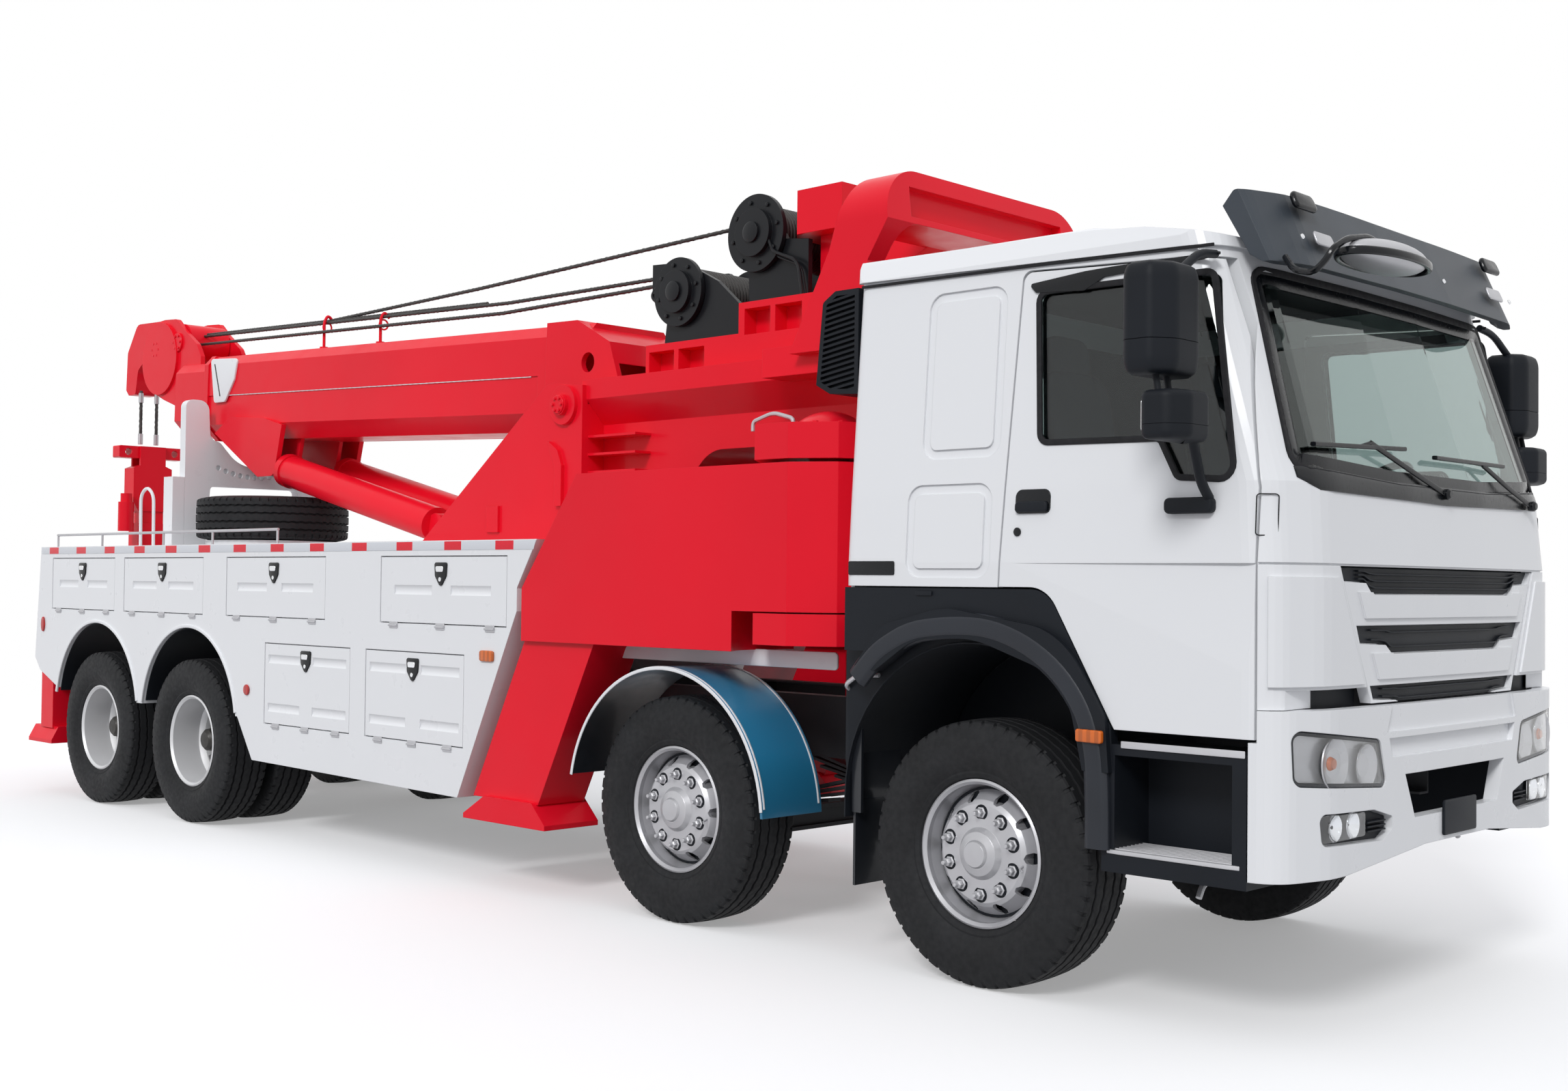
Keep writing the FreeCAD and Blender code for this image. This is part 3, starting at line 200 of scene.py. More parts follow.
print("ten places, the first at", around((0, 0, 0), 1, 10)[0])

# %% [markdown]
# ## Outlines
# Pressed sheet and moulded plastic have no sharp corners. An outline could be traced point by
# point, but its corners and their radii say the same and stay easy to change.

# %% Outlines


def rounded(corners, steps=5):
    """Closed 2-D outline from corners (u, v, radius). A rounded corner is an arc that touches both
    of its straight sides: its centre is at radius / sin(half the angle) along the bisector."""
    out = []
    for k, (u, v, *rest) in enumerate(corners):
        here = np.array([u, v], float)
        radius = rest[0] if rest else 0
        if radius <= 0:
            out.append(here[None])
            continue
        back = np.array(corners[k - 1][:2], float) - here
        on = np.array(corners[(k + 1) % len(corners)][:2], float) - here
        back, on = back / np.hypot(*back), on / np.hypot(*on)
        half = math.acos(np.clip(back @ on, -1, 1)) / 2
        bisector = (back + on) / np.hypot(*(back + on))
        centre = here + bisector * radius / math.sin(half)
        start = here + back * radius / math.tan(half) - centre
        sign = -math.copysign(1, back[0] * on[1] - back[1] * on[0])
        angle = -sign * np.linspace(0, math.pi - 2 * half, steps + 1)
        c, s = np.cos(angle), np.sin(angle)
        out.append(centre + np.stack([c * start[0] + s * start[1], -s * start[0] + c * start[1]], 1))
    return np.concatenate(out)


def rectangle(left, right, low, high, *radii):
    """Outline of a rectangle with one corner radius, or with four: they start at the low left corner
    and go round by the low right one."""
    radii = radii * 4 if len(radii) == 1 else radii
    corners = ((left, low), (right, low), (right, high), (left, high))
    return rounded([(*corner, radius) for corner, radius in zip(corners, radii)])


print("a rounded rectangle has", len(rectangle(0, 2, 0, 1, 0.2)), "points")

# %% [markdown]
# ## Drawing an outline inwards
# A seam or a softened rim runs a little inside an edge. Each corner slides along the mitre of its
# two edges, as a joiner cuts a frame, so the margin is even all round.

# %% Inner outlines


def shrunk(outline, amount):
    """Outline moved inwards by amount: each corner slides along the mitre of its two edges."""
    ahead = np.roll(outline, -1, 0) - outline
    ahead /= np.maximum(np.linalg.norm(ahead, axis=1, keepdims=True), 1e-9)
    normal = np.stack([-ahead[:, 1], ahead[:, 0]], 1)
    area = np.sum(outline[:, 0] * np.roll(outline[:, 1], -1) - outline[:, 1] * np.roll(outline[:, 0], -1))
    normal *= math.copysign(1, area)
    mitre = normal + np.roll(normal, 1, 0)
    mitre /= np.maximum(np.sum(mitre * normal, 1, keepdims=True), 0.35)
    return outline + mitre * amount


print("a square drawn in by 0.1 is", np.ptp(shrunk(rectangle(0, 1, 0, 1, 0), 0.1), 0), "wide and high")

# %% [markdown]
# ## Plates
# A badge, a lens or a lamp board is a flat outline with some thickness and a softened rim. It is
# drawn flat, and a placing function then bends it onto the panel that carries it.

# %% Plates


def plane(axis, level, way=1):
    """Where flat points go on a plane square to one axis: they fill the two other axes in order, and
    depth is counted from the level towards 'way'."""
    others = [k for k in range(3) if k != axis]

    def place(flat, depth):
        out = np.zeros((len(flat), 3))
        out[:, others] = flat
        out[:, axis] = level + way * np.asarray(depth)
        return out

    return place


def plate(outline, place, low, high, bevel=0.003, steps=3, fill=0):
    """Closed sheet between two depths above a panel, with both rims rounded off: at angle t the
    outline is drawn in by bevel (1 - cos t) and stands bevel (1 - sin t) below the top. 'place' bends
    it onto the panel, and 'fill' adds that many smaller outlines inside, so that it can bend."""
    t = np.linspace(0, math.pi / 2, steps + 1)
    rim = [(bevel * (1 - math.cos(a)), bevel * (1 - math.sin(a))) for a in t]
    inner = shrunk(outline, bevel)
    centre = (inner.min(0) + inner.max(0)) / 2
    smaller = [centre + (inner - centre) * k for k in np.linspace(1, 0.06, fill + 1)[1:]]
    rings = [place(o, low) for o in smaller[::-1]]
    rings += [place(shrunk(outline, a), low + b) for a, b in rim[::-1]]
    rings += [place(shrunk(outline, a), high - b) for a, b in rim]
    rings += [place(o, high) for o in smaller]
    return loft(np.stack(rings))


print("a small plate has", len(plate(rectangle(0, 1, 0, 1, 0.1), plane(2, 0), 0, 0.02)[2]), "faces")

# %% [markdown]
# ## Bars that follow a panel
# The black fields of the grille and the cowl run across the curved front. They are flat bars whose
# height and depth may change along the way, so they take a placing function too.

# %% Bars on a panel


def band(run, low, high, place, depth_low, depth_high, corner=0.2):
    """Bar that follows a panel: for each value of run it has a rounded cross-section between two
    heights and two depths, each one number or one number per value of run."""
    run = np.asarray(run, float)
    share = rounded([(0, 0, corner), (1, 0, corner), (1, 1, corner), (0, 1, corner)], 2)
    low, high, d0, d1 = (np.broadcast_to(v, run.shape)[:, None] for v in (low, high, depth_low, depth_high))
    height = low + share[:, 0] * (high - low)
    depth = d0 + share[:, 1] * (d1 - d0)
    flat = np.stack([np.broadcast_to(run[:, None], height.shape).ravel(), height.ravel()], 1)
    return loft(place(flat, depth.ravel()).reshape(*height.shape, 3))


print("a flat bar of 5 stations has", len(band(np.arange(5), 0, 1, plane(0, 0), 0, 0.1)[2]), "faces")

# %% [markdown]
# ## Paths
# Tubes, ropes and seals follow a path. Its bends are rounded first, as a real pipe's are, and two
# axes are carried along it with as little twist as possible, so that a profile doesn't spin.

# %% Paths


def frames_along(path, closed=False):
    """Two axes square to a path at each point. The first axis is carried from point to point with as
    little turning as possible: at each step the part along the new direction is taken away. Each step
    needs the axis before it, which is why this is a loop."""
    if closed:
        tangent = np.roll(path, -1, 0) - np.roll(path, 1, 0)
    else:
        tangent = np.gradient(path, axis=0)
    tangent /= np.linalg.norm(tangent, axis=1, keepdims=True)
    seed = np.array([0, 0, 1.0]) if abs(tangent[0][2]) < 0.9 else np.array([0, 1.0, 0])
    axis = np.cross(tangent[0], seed)
    side = []
    for t in tangent:
        axis = axis - t * (axis @ t)
        axis = axis / np.linalg.norm(axis)
        side.append(axis)
    side = np.array(side)
    return tangent, side, np.cross(tangent, side)


def smooth_path(corners, radius, steps=6):
    """Path with each inner corner replaced by an arc of about that radius, drawn as a quadratic
    curve: P(t) = (1-t)^2 A + 2t(1-t) corner + t^2 B, where A and B are cut back along the sides."""
    corners = np.asarray(corners, float)
    out = [corners[:1]]
    t = np.linspace(0, 1, steps + 1)[:, None]
    for a, b, c in zip(corners, corners[1:], corners[2:]):
        cut_back = min(radius, np.linalg.norm(b - a) * 0.48, np.linalg.norm(c - b) * 0.48)
        start = b + (a - b) / np.linalg.norm(a - b) * cut_back
        end = b + (c - b) / np.linalg.norm(c - b) * cut_back
        out.append((1 - t) ** 2 * start + 2 * t * (1 - t) * b + t**2 * end)
    out.append(corners[-1:])
    return np.concatenate(out)


print("a bent path has", len(smooth_path([(0, 0, 0), (1, 0, 0), (1, 1, 0)], 0.2)), "points")

# %% [markdown]
# ## Round bars and pipes
# A tube is a circle carried along a path. A straight bar and a bent pipe are the two cases that
# come back most often, so each has a short name.

# %% Tubes


def tube(path, radius, sides=12):
    """Round bar along a path: each ring is centre + r cos(a) side + r sin(a) up. The radius is one
    number, one a ring, or one a point."""
    path = np.asarray(path, float)
    _, side, up = frames_along(path)
    a = np.linspace(0, 2 * np.pi, sides, endpoint=False)
    circle = np.cos(a)[None, :, None] * side[:, None] + np.sin(a)[None, :, None] * up[:, None]
    radius = np.asarray(radius, float)
    radius = radius[..., None] if radius.ndim == 2 else radius.reshape(-1, 1, 1)
    return loft(path[:, None] + radius * circle)


def bar(start, end, radius, sides=12):
    """Straight round bar from start to end."""
    return tube(np.array([start, end]), radius, sides)


def pipe(corners, bend, radius, sides=12):
    """Round bar whose corners are bent to the radius 'bend'."""
    return tube(smooth_path(corners, bend), radius, sides)


print("a straight bar has", len(bar((0, 0, 0), (1, 0, 0), 0.01)[2]), "faces")

# %% [markdown]
# ## Profiles carried along a path
# A rubber seal or a flare has the same cross-section all the way. The profile needs to know which
# way is up, and for a closed path its last ring is joined to its first.

# %% Strips


def cross_section(width, height, radius=0.3, steps=3):
    """Rounded rectangle round the origin; radius is a share of the smaller side."""
    w, h = width / 2, height / 2
    r = radius * min(width, height)
    return rounded([(-w, -h, r), (w, -h, r), (w, h, r), (-w, h, r)], steps)


def strip(path, profile, up, closed=False):
    """Profile (across, up) carried along a path. 'up' is the same all the way, or one per point, and
    across is square to it and to the path."""
    path = np.asarray(path, float)
    tangent = frames_along(path, closed)[0]
    up = np.broadcast_to(np.asarray(up, float), path.shape)
    up = up - tangent * np.sum(up * tangent, 1, keepdims=True)
    up = up / np.linalg.norm(up, axis=1, keepdims=True)
    across = np.cross(up, tangent)
    rings = path[:, None] + profile[None, :, :1] * across[:, None] + profile[None, :, 1:] * up[:, None]
    return outward(grid(rings, wrap_rows=True, wrap_cols=True)) if closed else loft(rings)


print("a rounded cross-section has", len(cross_section(0.02, 0.01)), "points")

# %% [markdown]
# ## Turned shapes
# A lathe makes a part from its half profile, and so does this helper. With only six steps round the
# axis it makes a hexagon, which is how every bolt head here gets its flats.

# %% Turned shapes


def turned(profile, centre, axis, steps=48, closed=True):
    """Profile (radius, distance along the axis) turned about an axis through centre. A closed
    profile makes a ring; an open one must start and end near the axis and gets flat ends."""
    axis = np.asarray(axis, float)
    axis = axis / np.linalg.norm(axis)
    seed = np.array([0, 0, 1.0]) if abs(axis[2]) < 0.9 else np.array([1.0, 0, 0])
    e = np.cross(seed, axis)
    e /= np.linalg.norm(e)
    f = np.cross(axis, e)
    a = np.linspace(0, 2 * np.pi, steps, endpoint=False)
    circle = np.cos(a)[:, None] * e + np.sin(a)[:, None] * f
    profile = np.asarray(profile, float)
    rings = np.asarray(centre) + profile[:, 0, None, None] * circle + profile[:, 1, None, None] * axis
    return outward(grid(rings, wrap_rows=True, wrap_cols=True)) if closed else loft(rings)


def knob(profile, centre=(0, 0, 0), axis=(0, -1, 0), steps=6):
    """Turned solid with flat ends: its profile starts and ends near the axis."""
    return turned(profile, centre, axis, steps, closed=False)


def hexagon(radius, side, top, axis=(0, -1, 0)):
    """Bolt head about the origin: a hexagon with flat sides up to 'side', closed at 'top'."""
    return knob([(0.001, 0), (radius, 0), (radius, side), (0.001, top)], axis=axis)


print("a hexagon head has", len(hexagon(0.01, 0.008, 0.01)[2]), "faces")

# %% [markdown]
# ## The bodywork as formulas
# The cab's side leans in a little above the belt line, and its front bends back towards the
# corners. With these curves written down once, a seal, a lamp or a handle is drawn flat and then
# bent onto the sheet metal.

# %% Panels
HALF_WIDTH = 1.25
BUMPER_FACE = 1.455
CAB_HEIGHTS = [1.70, 1.985, 3.01]  # sill of the upper cab, belt line, roof


def side_y(z):
    """Half width of the cab at a height."""
    return np.interp(z, CAB_HEIGHTS, [HALF_WIDTH, 1.234, 1.16])


def drop(inside):
    """How far the front stands back at a distance inside the cab's side."""
    distances = [0, 0.015, 0.04, 0.08, 0.2, 0.24, 0.32, 0.9]
    return np.interp(inside, distances, [0.21, 0.15, 0.115, 0.085, 0.042, 0.034, 0.022, 0])


def on_cab_side(flat, depth):
    """(x, z) on the right side of the cab, depth outwards."""
    return np.stack([flat[:, 0], -(side_y(flat[:, 1]) + depth), flat[:, 1]], 1)


def on_front(flat, depth):
    """(y, z) on the cab's front: the nose line less the drop towards the corners."""
    y, z = flat[:, 0], flat[:, 1]
    nose = np.interp(z, CAB_HEIGHTS, [1.425, 1.402, 1.085])
    return np.stack([nose - drop(side_y(z) - np.abs(y)) + depth, y, z], 1)


def bumper_x(y):
    """Station of the bumper's face at a distance from the middle."""
    return BUMPER_FACE - drop(HALF_WIDTH - np.abs(y))


def on_bumper(flat, depth):
    """(y, z) on the bumper, depth towards the front."""
    return np.stack([bumper_x(flat[:, 0]) + depth, flat[:, 0], flat[:, 1]], 1)


on_body_side = plane(1, -HALF_WIDTH, -1)
print("belt line half width", side_y(1.985), "bumper's corner at", round(float(bumper_x(1.2)), 3))

# %% [markdown]
# ## Node trees
# A finish, and the sky too, is a small tree of nodes. It could be wired by hand in the shader
# editor, but a few short helpers build the same tree on every run and read like sums. Patterns use
# object coordinates, which are the truck's own metres, so a grain has its true size.

# %% Node trees


class Nodes:
    """A node tree, with short ways to add to it; 'where' is the place that patterns read."""

    def __init__(self, tree, space="Object"):
        self.tree = tree
        self.where = self.add("ShaderNodeTexCoord").outputs[space]

    def add(self, kind, **values):
        """New node, with its properties set."""
        node = self.tree.nodes.new(kind)
        for key, value in values.items():
            setattr(node, key, value)
        return node

    def link(self, source, target):
        """Feed the target socket from the source."""
        self.tree.links.new(source, target)

    def split(self, vector):
        """The X, Y and Z of a vector."""
        node = self.add("ShaderNodeSeparateXYZ")
        self.link(vector, node.inputs[0])
        return node.outputs

    def math(self, operation, a, b=0.0):
        """One step of arithmetic; a and b are sockets or numbers."""
        node = self.add("ShaderNodeMath", operation=operation)
        for k, value in enumerate((a, b)):
            if isinstance(value, (int, float)):
                node.inputs[k].default_value = value
            else:
                self.link(value, node.inputs[k])
        return node.outputs[0]


print("materials before the first finish", len(bpy.data.materials))

# %% [markdown]
# ## Ramps and mixtures
# A ramp turns a number into a colour, and a mixer lays one shader over another. Both come back in
# the enamels, the floor and the sky.

# %% Ramps and mixtures


class Mixer(Nodes):
    """A node tree with ramps and mixtures."""

    def ramp(self, factor, stops):
        """Colours or greys along a factor: stops are (position, colour)."""
        node = self.add("ShaderNodeValToRGB")
        while len(node.color_ramp.elements) < len(stops):
            node.color_ramp.elements.new(0.5)
        for element, (position, colour) in zip(node.color_ramp.elements, stops):
            element.position = position
            rgb = (colour,) * 3 if isinstance(colour, (int, float)) else colour
            element.color = (*rgb, 1)
        self.link(factor, node.inputs["Fac"])
        return node.outputs["Color"]

    def mixed(self, kind, *sources):
        """Mix or sum of shaders: the sources fill the node's inputs in order."""
        node = self.add(kind)
        for source, target in zip(sources, node.inputs):
            self.link(source, target)
        return node.outputs[0]

    def seen(self):
        """1 for a ray from the lens, from a mirror or through glass, and 0 for scattered light."""
        path = self.add("ShaderNodeLightPath")
        seen = path.outputs["Is Camera Ray"]
        for ray in ("Is Glossy Ray", "Is Transmission Ray"):
            seen = self.math("MAXIMUM", seen, path.outputs[ray])
        return seen


print("a tree can ramp and mix")

# %% [markdown]
# ## A finish
# Each finish of the truck is one Principled shader. What makes it look sprayed, cast or moulded is
# noise that drifts its colour, varies its gloss and tilts its surface a little.

# %% A finish


class Finish(Mixer):
    """A material with one Principled shader, and short ways to feed it."""

    def __init__(self, name, **sockets):
        self.material = bpy.data.materials.new(name)
        self.material.use_nodes = True
        super().__init__(self.material.node_tree)
        self.shader = self.tree.nodes["Principled BSDF"]
        for socket, value in sockets.items():
            self.set(socket.replace("_", " "), value)

    def set(self, socket, value):
        """Plain value of one of the shader's sockets."""
        if isinstance(value, tuple) and len(value) == 3:
            value = (*value, 1)
        self.shader.inputs[socket].default_value = value

    def noise(self, scale, detail=3):
        """Noise of that many blobs a metre."""
        node = self.add("ShaderNodeTexNoise")
        node.inputs["Scale"].default_value = scale
        node.inputs["Detail"].default_value = detail
        self.link(self.where, node.inputs["Vector"])
        return node.outputs["Fac"]

    def colour(self, source):
        """Base colour from a socket."""
        self.link(source, self.shader.inputs["Base Color"])

    def rough(self, source):
        """Roughness from a socket."""
        self.link(source, self.shader.inputs["Roughness"])

    def bump(self, height, distance, strength=1.0, edge=0.0):
        """Surface tilt from a height; edge rounds sharp corners by that radius first."""
        node = self.add("ShaderNodeBump")
        node.inputs["Distance"].default_value = distance
        node.inputs["Strength"].default_value = strength
        self.link(height, node.inputs["Height"])
        if edge:
            bevel = self.add("ShaderNodeBevel", samples=4)
            bevel.inputs["Radius"].default_value = edge
            self.link(bevel.outputs["Normal"], node.inputs["Normal"])
        self.link(node.outputs["Normal"], self.shader.inputs["Normal"])
        return self


print("a finish takes a colour, a roughness and a bump")

# %% [markdown]
# ## Enamel
# Vehicle enamel is sprayed: its tone drifts slightly, its skin has a fine orange peel, and a thin
# clear coat gives the second, sharper reflection. A flat colour alone would look like paper.

# %% Enamel


def shades(colour, spread):
    """Three stops around a colour, for noise to drift between."""
    dark, light = (tuple(c * k for c in colour) for k in (1 - spread, 1 + spread))
    return [(0.3, dark), (0.5, colour), (0.7, light)]


def enamel(name, colour, spread=0.02, gloss=0.3, shine=0.3, coat=0.2):
    """Sprayed vehicle enamel: slow drift of tone, fine orange peel, and a thin clear coat."""
    f = Finish(name, Coat_Weight=coat, Coat_Roughness=0.08, Specular_IOR_Level=shine)
    f.colour(f.ramp(f.noise(0.7), shades(colour, spread)))
    f.rough(f.ramp(f.noise(7, 4), [(0.3, gloss - 0.04), (0.7, gloss + 0.06)]))
    return f.bump(f.noise(60, 2), 0.0004, 0.05, edge=0.004).material


print("shades of a mid grey", shades((0.5, 0.5, 0.5), 0.02))

# %% [markdown]
# ## Enamel with a lining
# The cab's sheet metal is one node, white outside and dark inside. The finish decides by place:
# whatever lies between the walls, the front and the roof is lining. That needs no second mesh.

# %% Enamel with a lining
BELT = 1.985  # height of the belt line, from which the walls lean in
WALL_LEAN, FRONT_LEAN = 0.072, 0.309  # metres inwards for a metre up
WALL_INSIDE, FRONT_INSIDE, REAR_INSIDE = 1.212, 1.16, -0.63
FLOOR_INSIDE, ROOF_FROM, ROOF_SKIN = -0.50, 0.80, 0.97  # above the belt line


def lined_enamel(name, colour, lining):
    """White enamel outside and dark lining inside the cab, with z counted from the belt line. Inside
    means |y| + lean max(z, 0) < wall; x + lean z < front; x > rear; and floor < z < roof. Near the
    roof only what faces down is lining."""
    f = Finish(name, Coat_Weight=0.15, Coat_Roughness=0.08, Specular_IOR_Level=0.25)
    split = f.split(f.where)
    x = f.math("SUBTRACT", split["X"], AXLE_X[0])
    z = f.math("SUBTRACT", split["Z"], BELT)
    lean = f.math("MULTIPLY", f.math("MAXIMUM", z, 0.0), WALL_LEAN)
    across = f.math("ADD", f.math("ABSOLUTE", split["Y"]), lean)
    ahead = f.math("ADD", x, f.math("MULTIPLY", z, FRONT_LEAN))
    facing = f.split(f.add("ShaderNodeNewGeometry").outputs["True Normal"])
    low = f.math("MAXIMUM", f.math("LESS_THAN", z, ROOF_FROM), f.math("LESS_THAN", facing["Z"], -0.5))
    inside = low
    for value, limit in ((across, WALL_INSIDE), (ahead, FRONT_INSIDE), (z, ROOF_SKIN)):
        inside = f.math("MULTIPLY", inside, f.math("LESS_THAN", value, limit))
    for value, limit in ((x, REAR_INSIDE), (z, FLOOR_INSIDE)):
        inside = f.math("MULTIPLY", inside, f.math("GREATER_THAN", value, limit))
    f.colour(f.ramp(inside, [(0.4, colour), (0.6, lining)]))
    f.rough(f.ramp(inside, [(0.4, 0.3), (0.6, 0.8)]))
    return f.bump(f.noise(60, 2), 0.0004, 0.12, edge=0.004).material


print("walls lean in by", round(math.degrees(math.atan(WALL_LEAN)), 1), "degrees")

# %% [markdown]
# ## Rear wheels
# A twin wheel is dished deep. Its tone darkens towards the hub: that is painted shade of the deep dish, with
# some brake dust and grease at the hub itself. The distance from the axle's line picks the tone, so the same
# rule works for every part of the wheel.

# %% Rear wheels
DISH_SCALE = 2.5  # the tones' positions are radii times this
# painted shade: the tones darken from the bright rim towards the hub as the deep dish's shadow does; the
# darkest, brownish one is also hub grease
DISH_SHADE_TONES = [
    (0.26, (0.03, 0.028, 0.025)), (0.44, (0.10, 0.10, 0.10)),
    (0.56, (0.36, 0.36, 0.36)), (0.66, (0.70, 0.70, 0.71)),
]


def dished_wheel(name, station):
    """Rear wheel: bright rim, and painted shade of the dish darkening towards the hub, by sqrt(x^2 + z^2)
    from the axle's line.
    """
    f = Finish(name, Metallic=0.3)
    split = f.split(f.where)
    x = f.math("SUBTRACT", split["X"], AXLE_X[0] + station)
    z = f.math("SUBTRACT", split["Z"], TYRE_R)
    r = f.math("SQRT", f.math("ADD", f.math("MULTIPLY", x, x), f.math("MULTIPLY", z, z)))
    f.colour(f.ramp(f.math("MULTIPLY", r, DISH_SCALE), DISH_SHADE_TONES))
    f.rough(f.ramp(f.noise(40, 4), [(0.3, 0.35), (0.7, 0.5)]))
    return f.bump(f.noise(200, 3), 0.0004, 0.25, edge=0.003).material


print("wheel tones stop at radii", [round(place / DISH_SCALE, 3) for place, _ in DISH_SHADE_TONES])

# %% [markdown]
# ## Plastic, rubber and metal
# Trim plastic has a pebbled grain, rubber is matt with a bloom of dust, and metal has a fine grain
# in its shine. In each the grain moves the highlight more than the colour.

# %% Plastic, rubber and metal


def moulded(name, colour, gloss=0.5, grain=900, shine=0.3):
    """Grained plastic: a pebble of fine noise, a little duller in its hollows."""
    f = Finish(name, Specular_IOR_Level=shine)
    pebble = f.noise(grain, 2)
    f.colour(f.ramp(f.noise(3), shades(colour, 0.12)))
    f.rough(f.ramp(pebble, [(0.3, gloss + 0.08), (0.7, gloss - 0.06)]))
    return f.bump(pebble, 0.0006, 0.5, edge=0.003).material


def rubber(name, colour):
    """Tyre rubber: matt, with a bloom of dust and a finely rough skin."""
    f = Finish(name, Specular_IOR_Level=0.3)
    f.colour(f.ramp(f.noise(6, 5), shades(colour, 0.25)))
    f.rough(f.ramp(f.noise(40, 4), [(0.3, 0.62), (0.7, 0.8)]))
    return f.bump(f.noise(420, 3), 0.0006, 0.5).material


def metal(name, colour, gloss=0.35, grain=240, solid=0.9):
    """Bare or silvered metal, with a fine grain in its shine."""
    f = Finish(name, Metallic=solid)
    speckle = f.noise(grain)
    f.colour(f.ramp(f.noise(5), shades(colour, 0.06)))
    f.rough(f.ramp(speckle, [(0.3, max(gloss - 0.06, 0.03)), (0.7, gloss + 0.1)]))
    return f.bump(speckle, 0.0004, 0.25, edge=0.003).material


print("grained finishes:", ", ".join(f.__name__ for f in (moulded, rubber, metal)))

# %% [markdown]
# ## Glass and lenses
# Window glass lets all light pass and tints it. A coloured lamp lens is thick and ribbed, and lets
# only a little light through, so its own colour does most of the work.

# %% Glass and lenses


def clear(name, tint):
    """Glass or clear plastic: all transmission with a light tint."""
    f = Finish(name, Transmission_Weight=1.0, IOR=1.45, Roughness=0.0)
    f.set("Base Color", tint)
    return f.bump(f.noise(2.5), 0.0006, 0.15).material


def coloured_lens(name, colour):
    """Moulded lamp lens: a strong colour that light passes a little, with fine upright ribs inside."""
    f = Finish(name, Transmission_Weight=0.25, Specular_IOR_Level=0.5)
    wave = f.add("ShaderNodeTexWave", bands_direction="X")
    wave.inputs["Scale"].default_value = 9
    f.link(f.where, wave.inputs["Vector"])
    f.colour(f.ramp(wave.outputs["Fac"], shades(colour, 0.18)))
    f.rough(f.ramp(f.noise(30), [(0.3, 0.12), (0.7, 0.2)]))
    return f.bump(wave.outputs["Fac"], 0.0008, 0.4).material


print("finishes for light:", ", ".join(f.__name__ for f in (clear, coloured_lens)))

# %% [markdown]
# ## Finishes that change along the truck
# The reflective tape alternates red and white, and the mudguards go from black to blue and back.
# Both read the place along the truck, so no edge has to be cut into a mesh.

# %% Tape and mudguards
GUARD_SPAN = 3.0  # metres behind the front axle that the mudguards' colours cover


def blocks(name, start, period, share):
    """Reflective tape: the place along the truck, less the start, is divided by the period, and where
    the fraction left over is below the share, the tape is red; elsewhere it is silver white."""
    f = Finish(name, Specular_IOR_Level=0.4)
    run = f.math("DIVIDE", f.math("SUBTRACT", f.split(f.where)["X"], AXLE_X[0] + start), period)
    red = f.math("LESS_THAN", f.math("FRACT", run), share)
    f.colour(f.ramp(red, [(0.4, (0.66, 0.68, 0.72)), (0.6, (0.72, 0.012, 0.03))]))
    cells = f.add("ShaderNodeTexVoronoi")
    cells.inputs["Scale"].default_value = 260
    f.link(f.where, cells.inputs["Vector"])
    f.rough(f.ramp(cells.outputs["Distance"], [(0.1, 0.2), (0.6, 0.45)]))
    return f.bump(cells.outputs["Distance"], 0.0004, 0.4).material


def two_guards(name, black, blue):
    """Mudguard skin: black at the front axle and at the second guard's rear end, blue over its crown
    and front end, blended along the truck."""
    f = Finish(name, Coat_Weight=0.3, Coat_Roughness=0.1, Specular_IOR_Level=0.4)
    run = f.math("SUBTRACT", f.split(f.where)["X"], AXLE_X[0] - GUARD_SPAN)
    stops = [(0.27, black), (0.47, blue), (0.60, blue), (0.68, black)]
    f.colour(f.ramp(f.math("DIVIDE", run, GUARD_SPAN), stops))
    f.rough(f.ramp(f.noise(12, 4), [(0.3, 0.3), (0.7, 0.42)]))
    return f.bump(f.noise(300, 2), 0.0004, 0.3, edge=0.003).material


print("mudguard colours cover", GUARD_SPAN, "m behind the front axle")

# %% [markdown]
# ## The truck's own finishes
# Every finish gets a short name here, and the list is the truck's colour card. White and red are
# kept just under full strength, because a picture needs room above them for highlights.

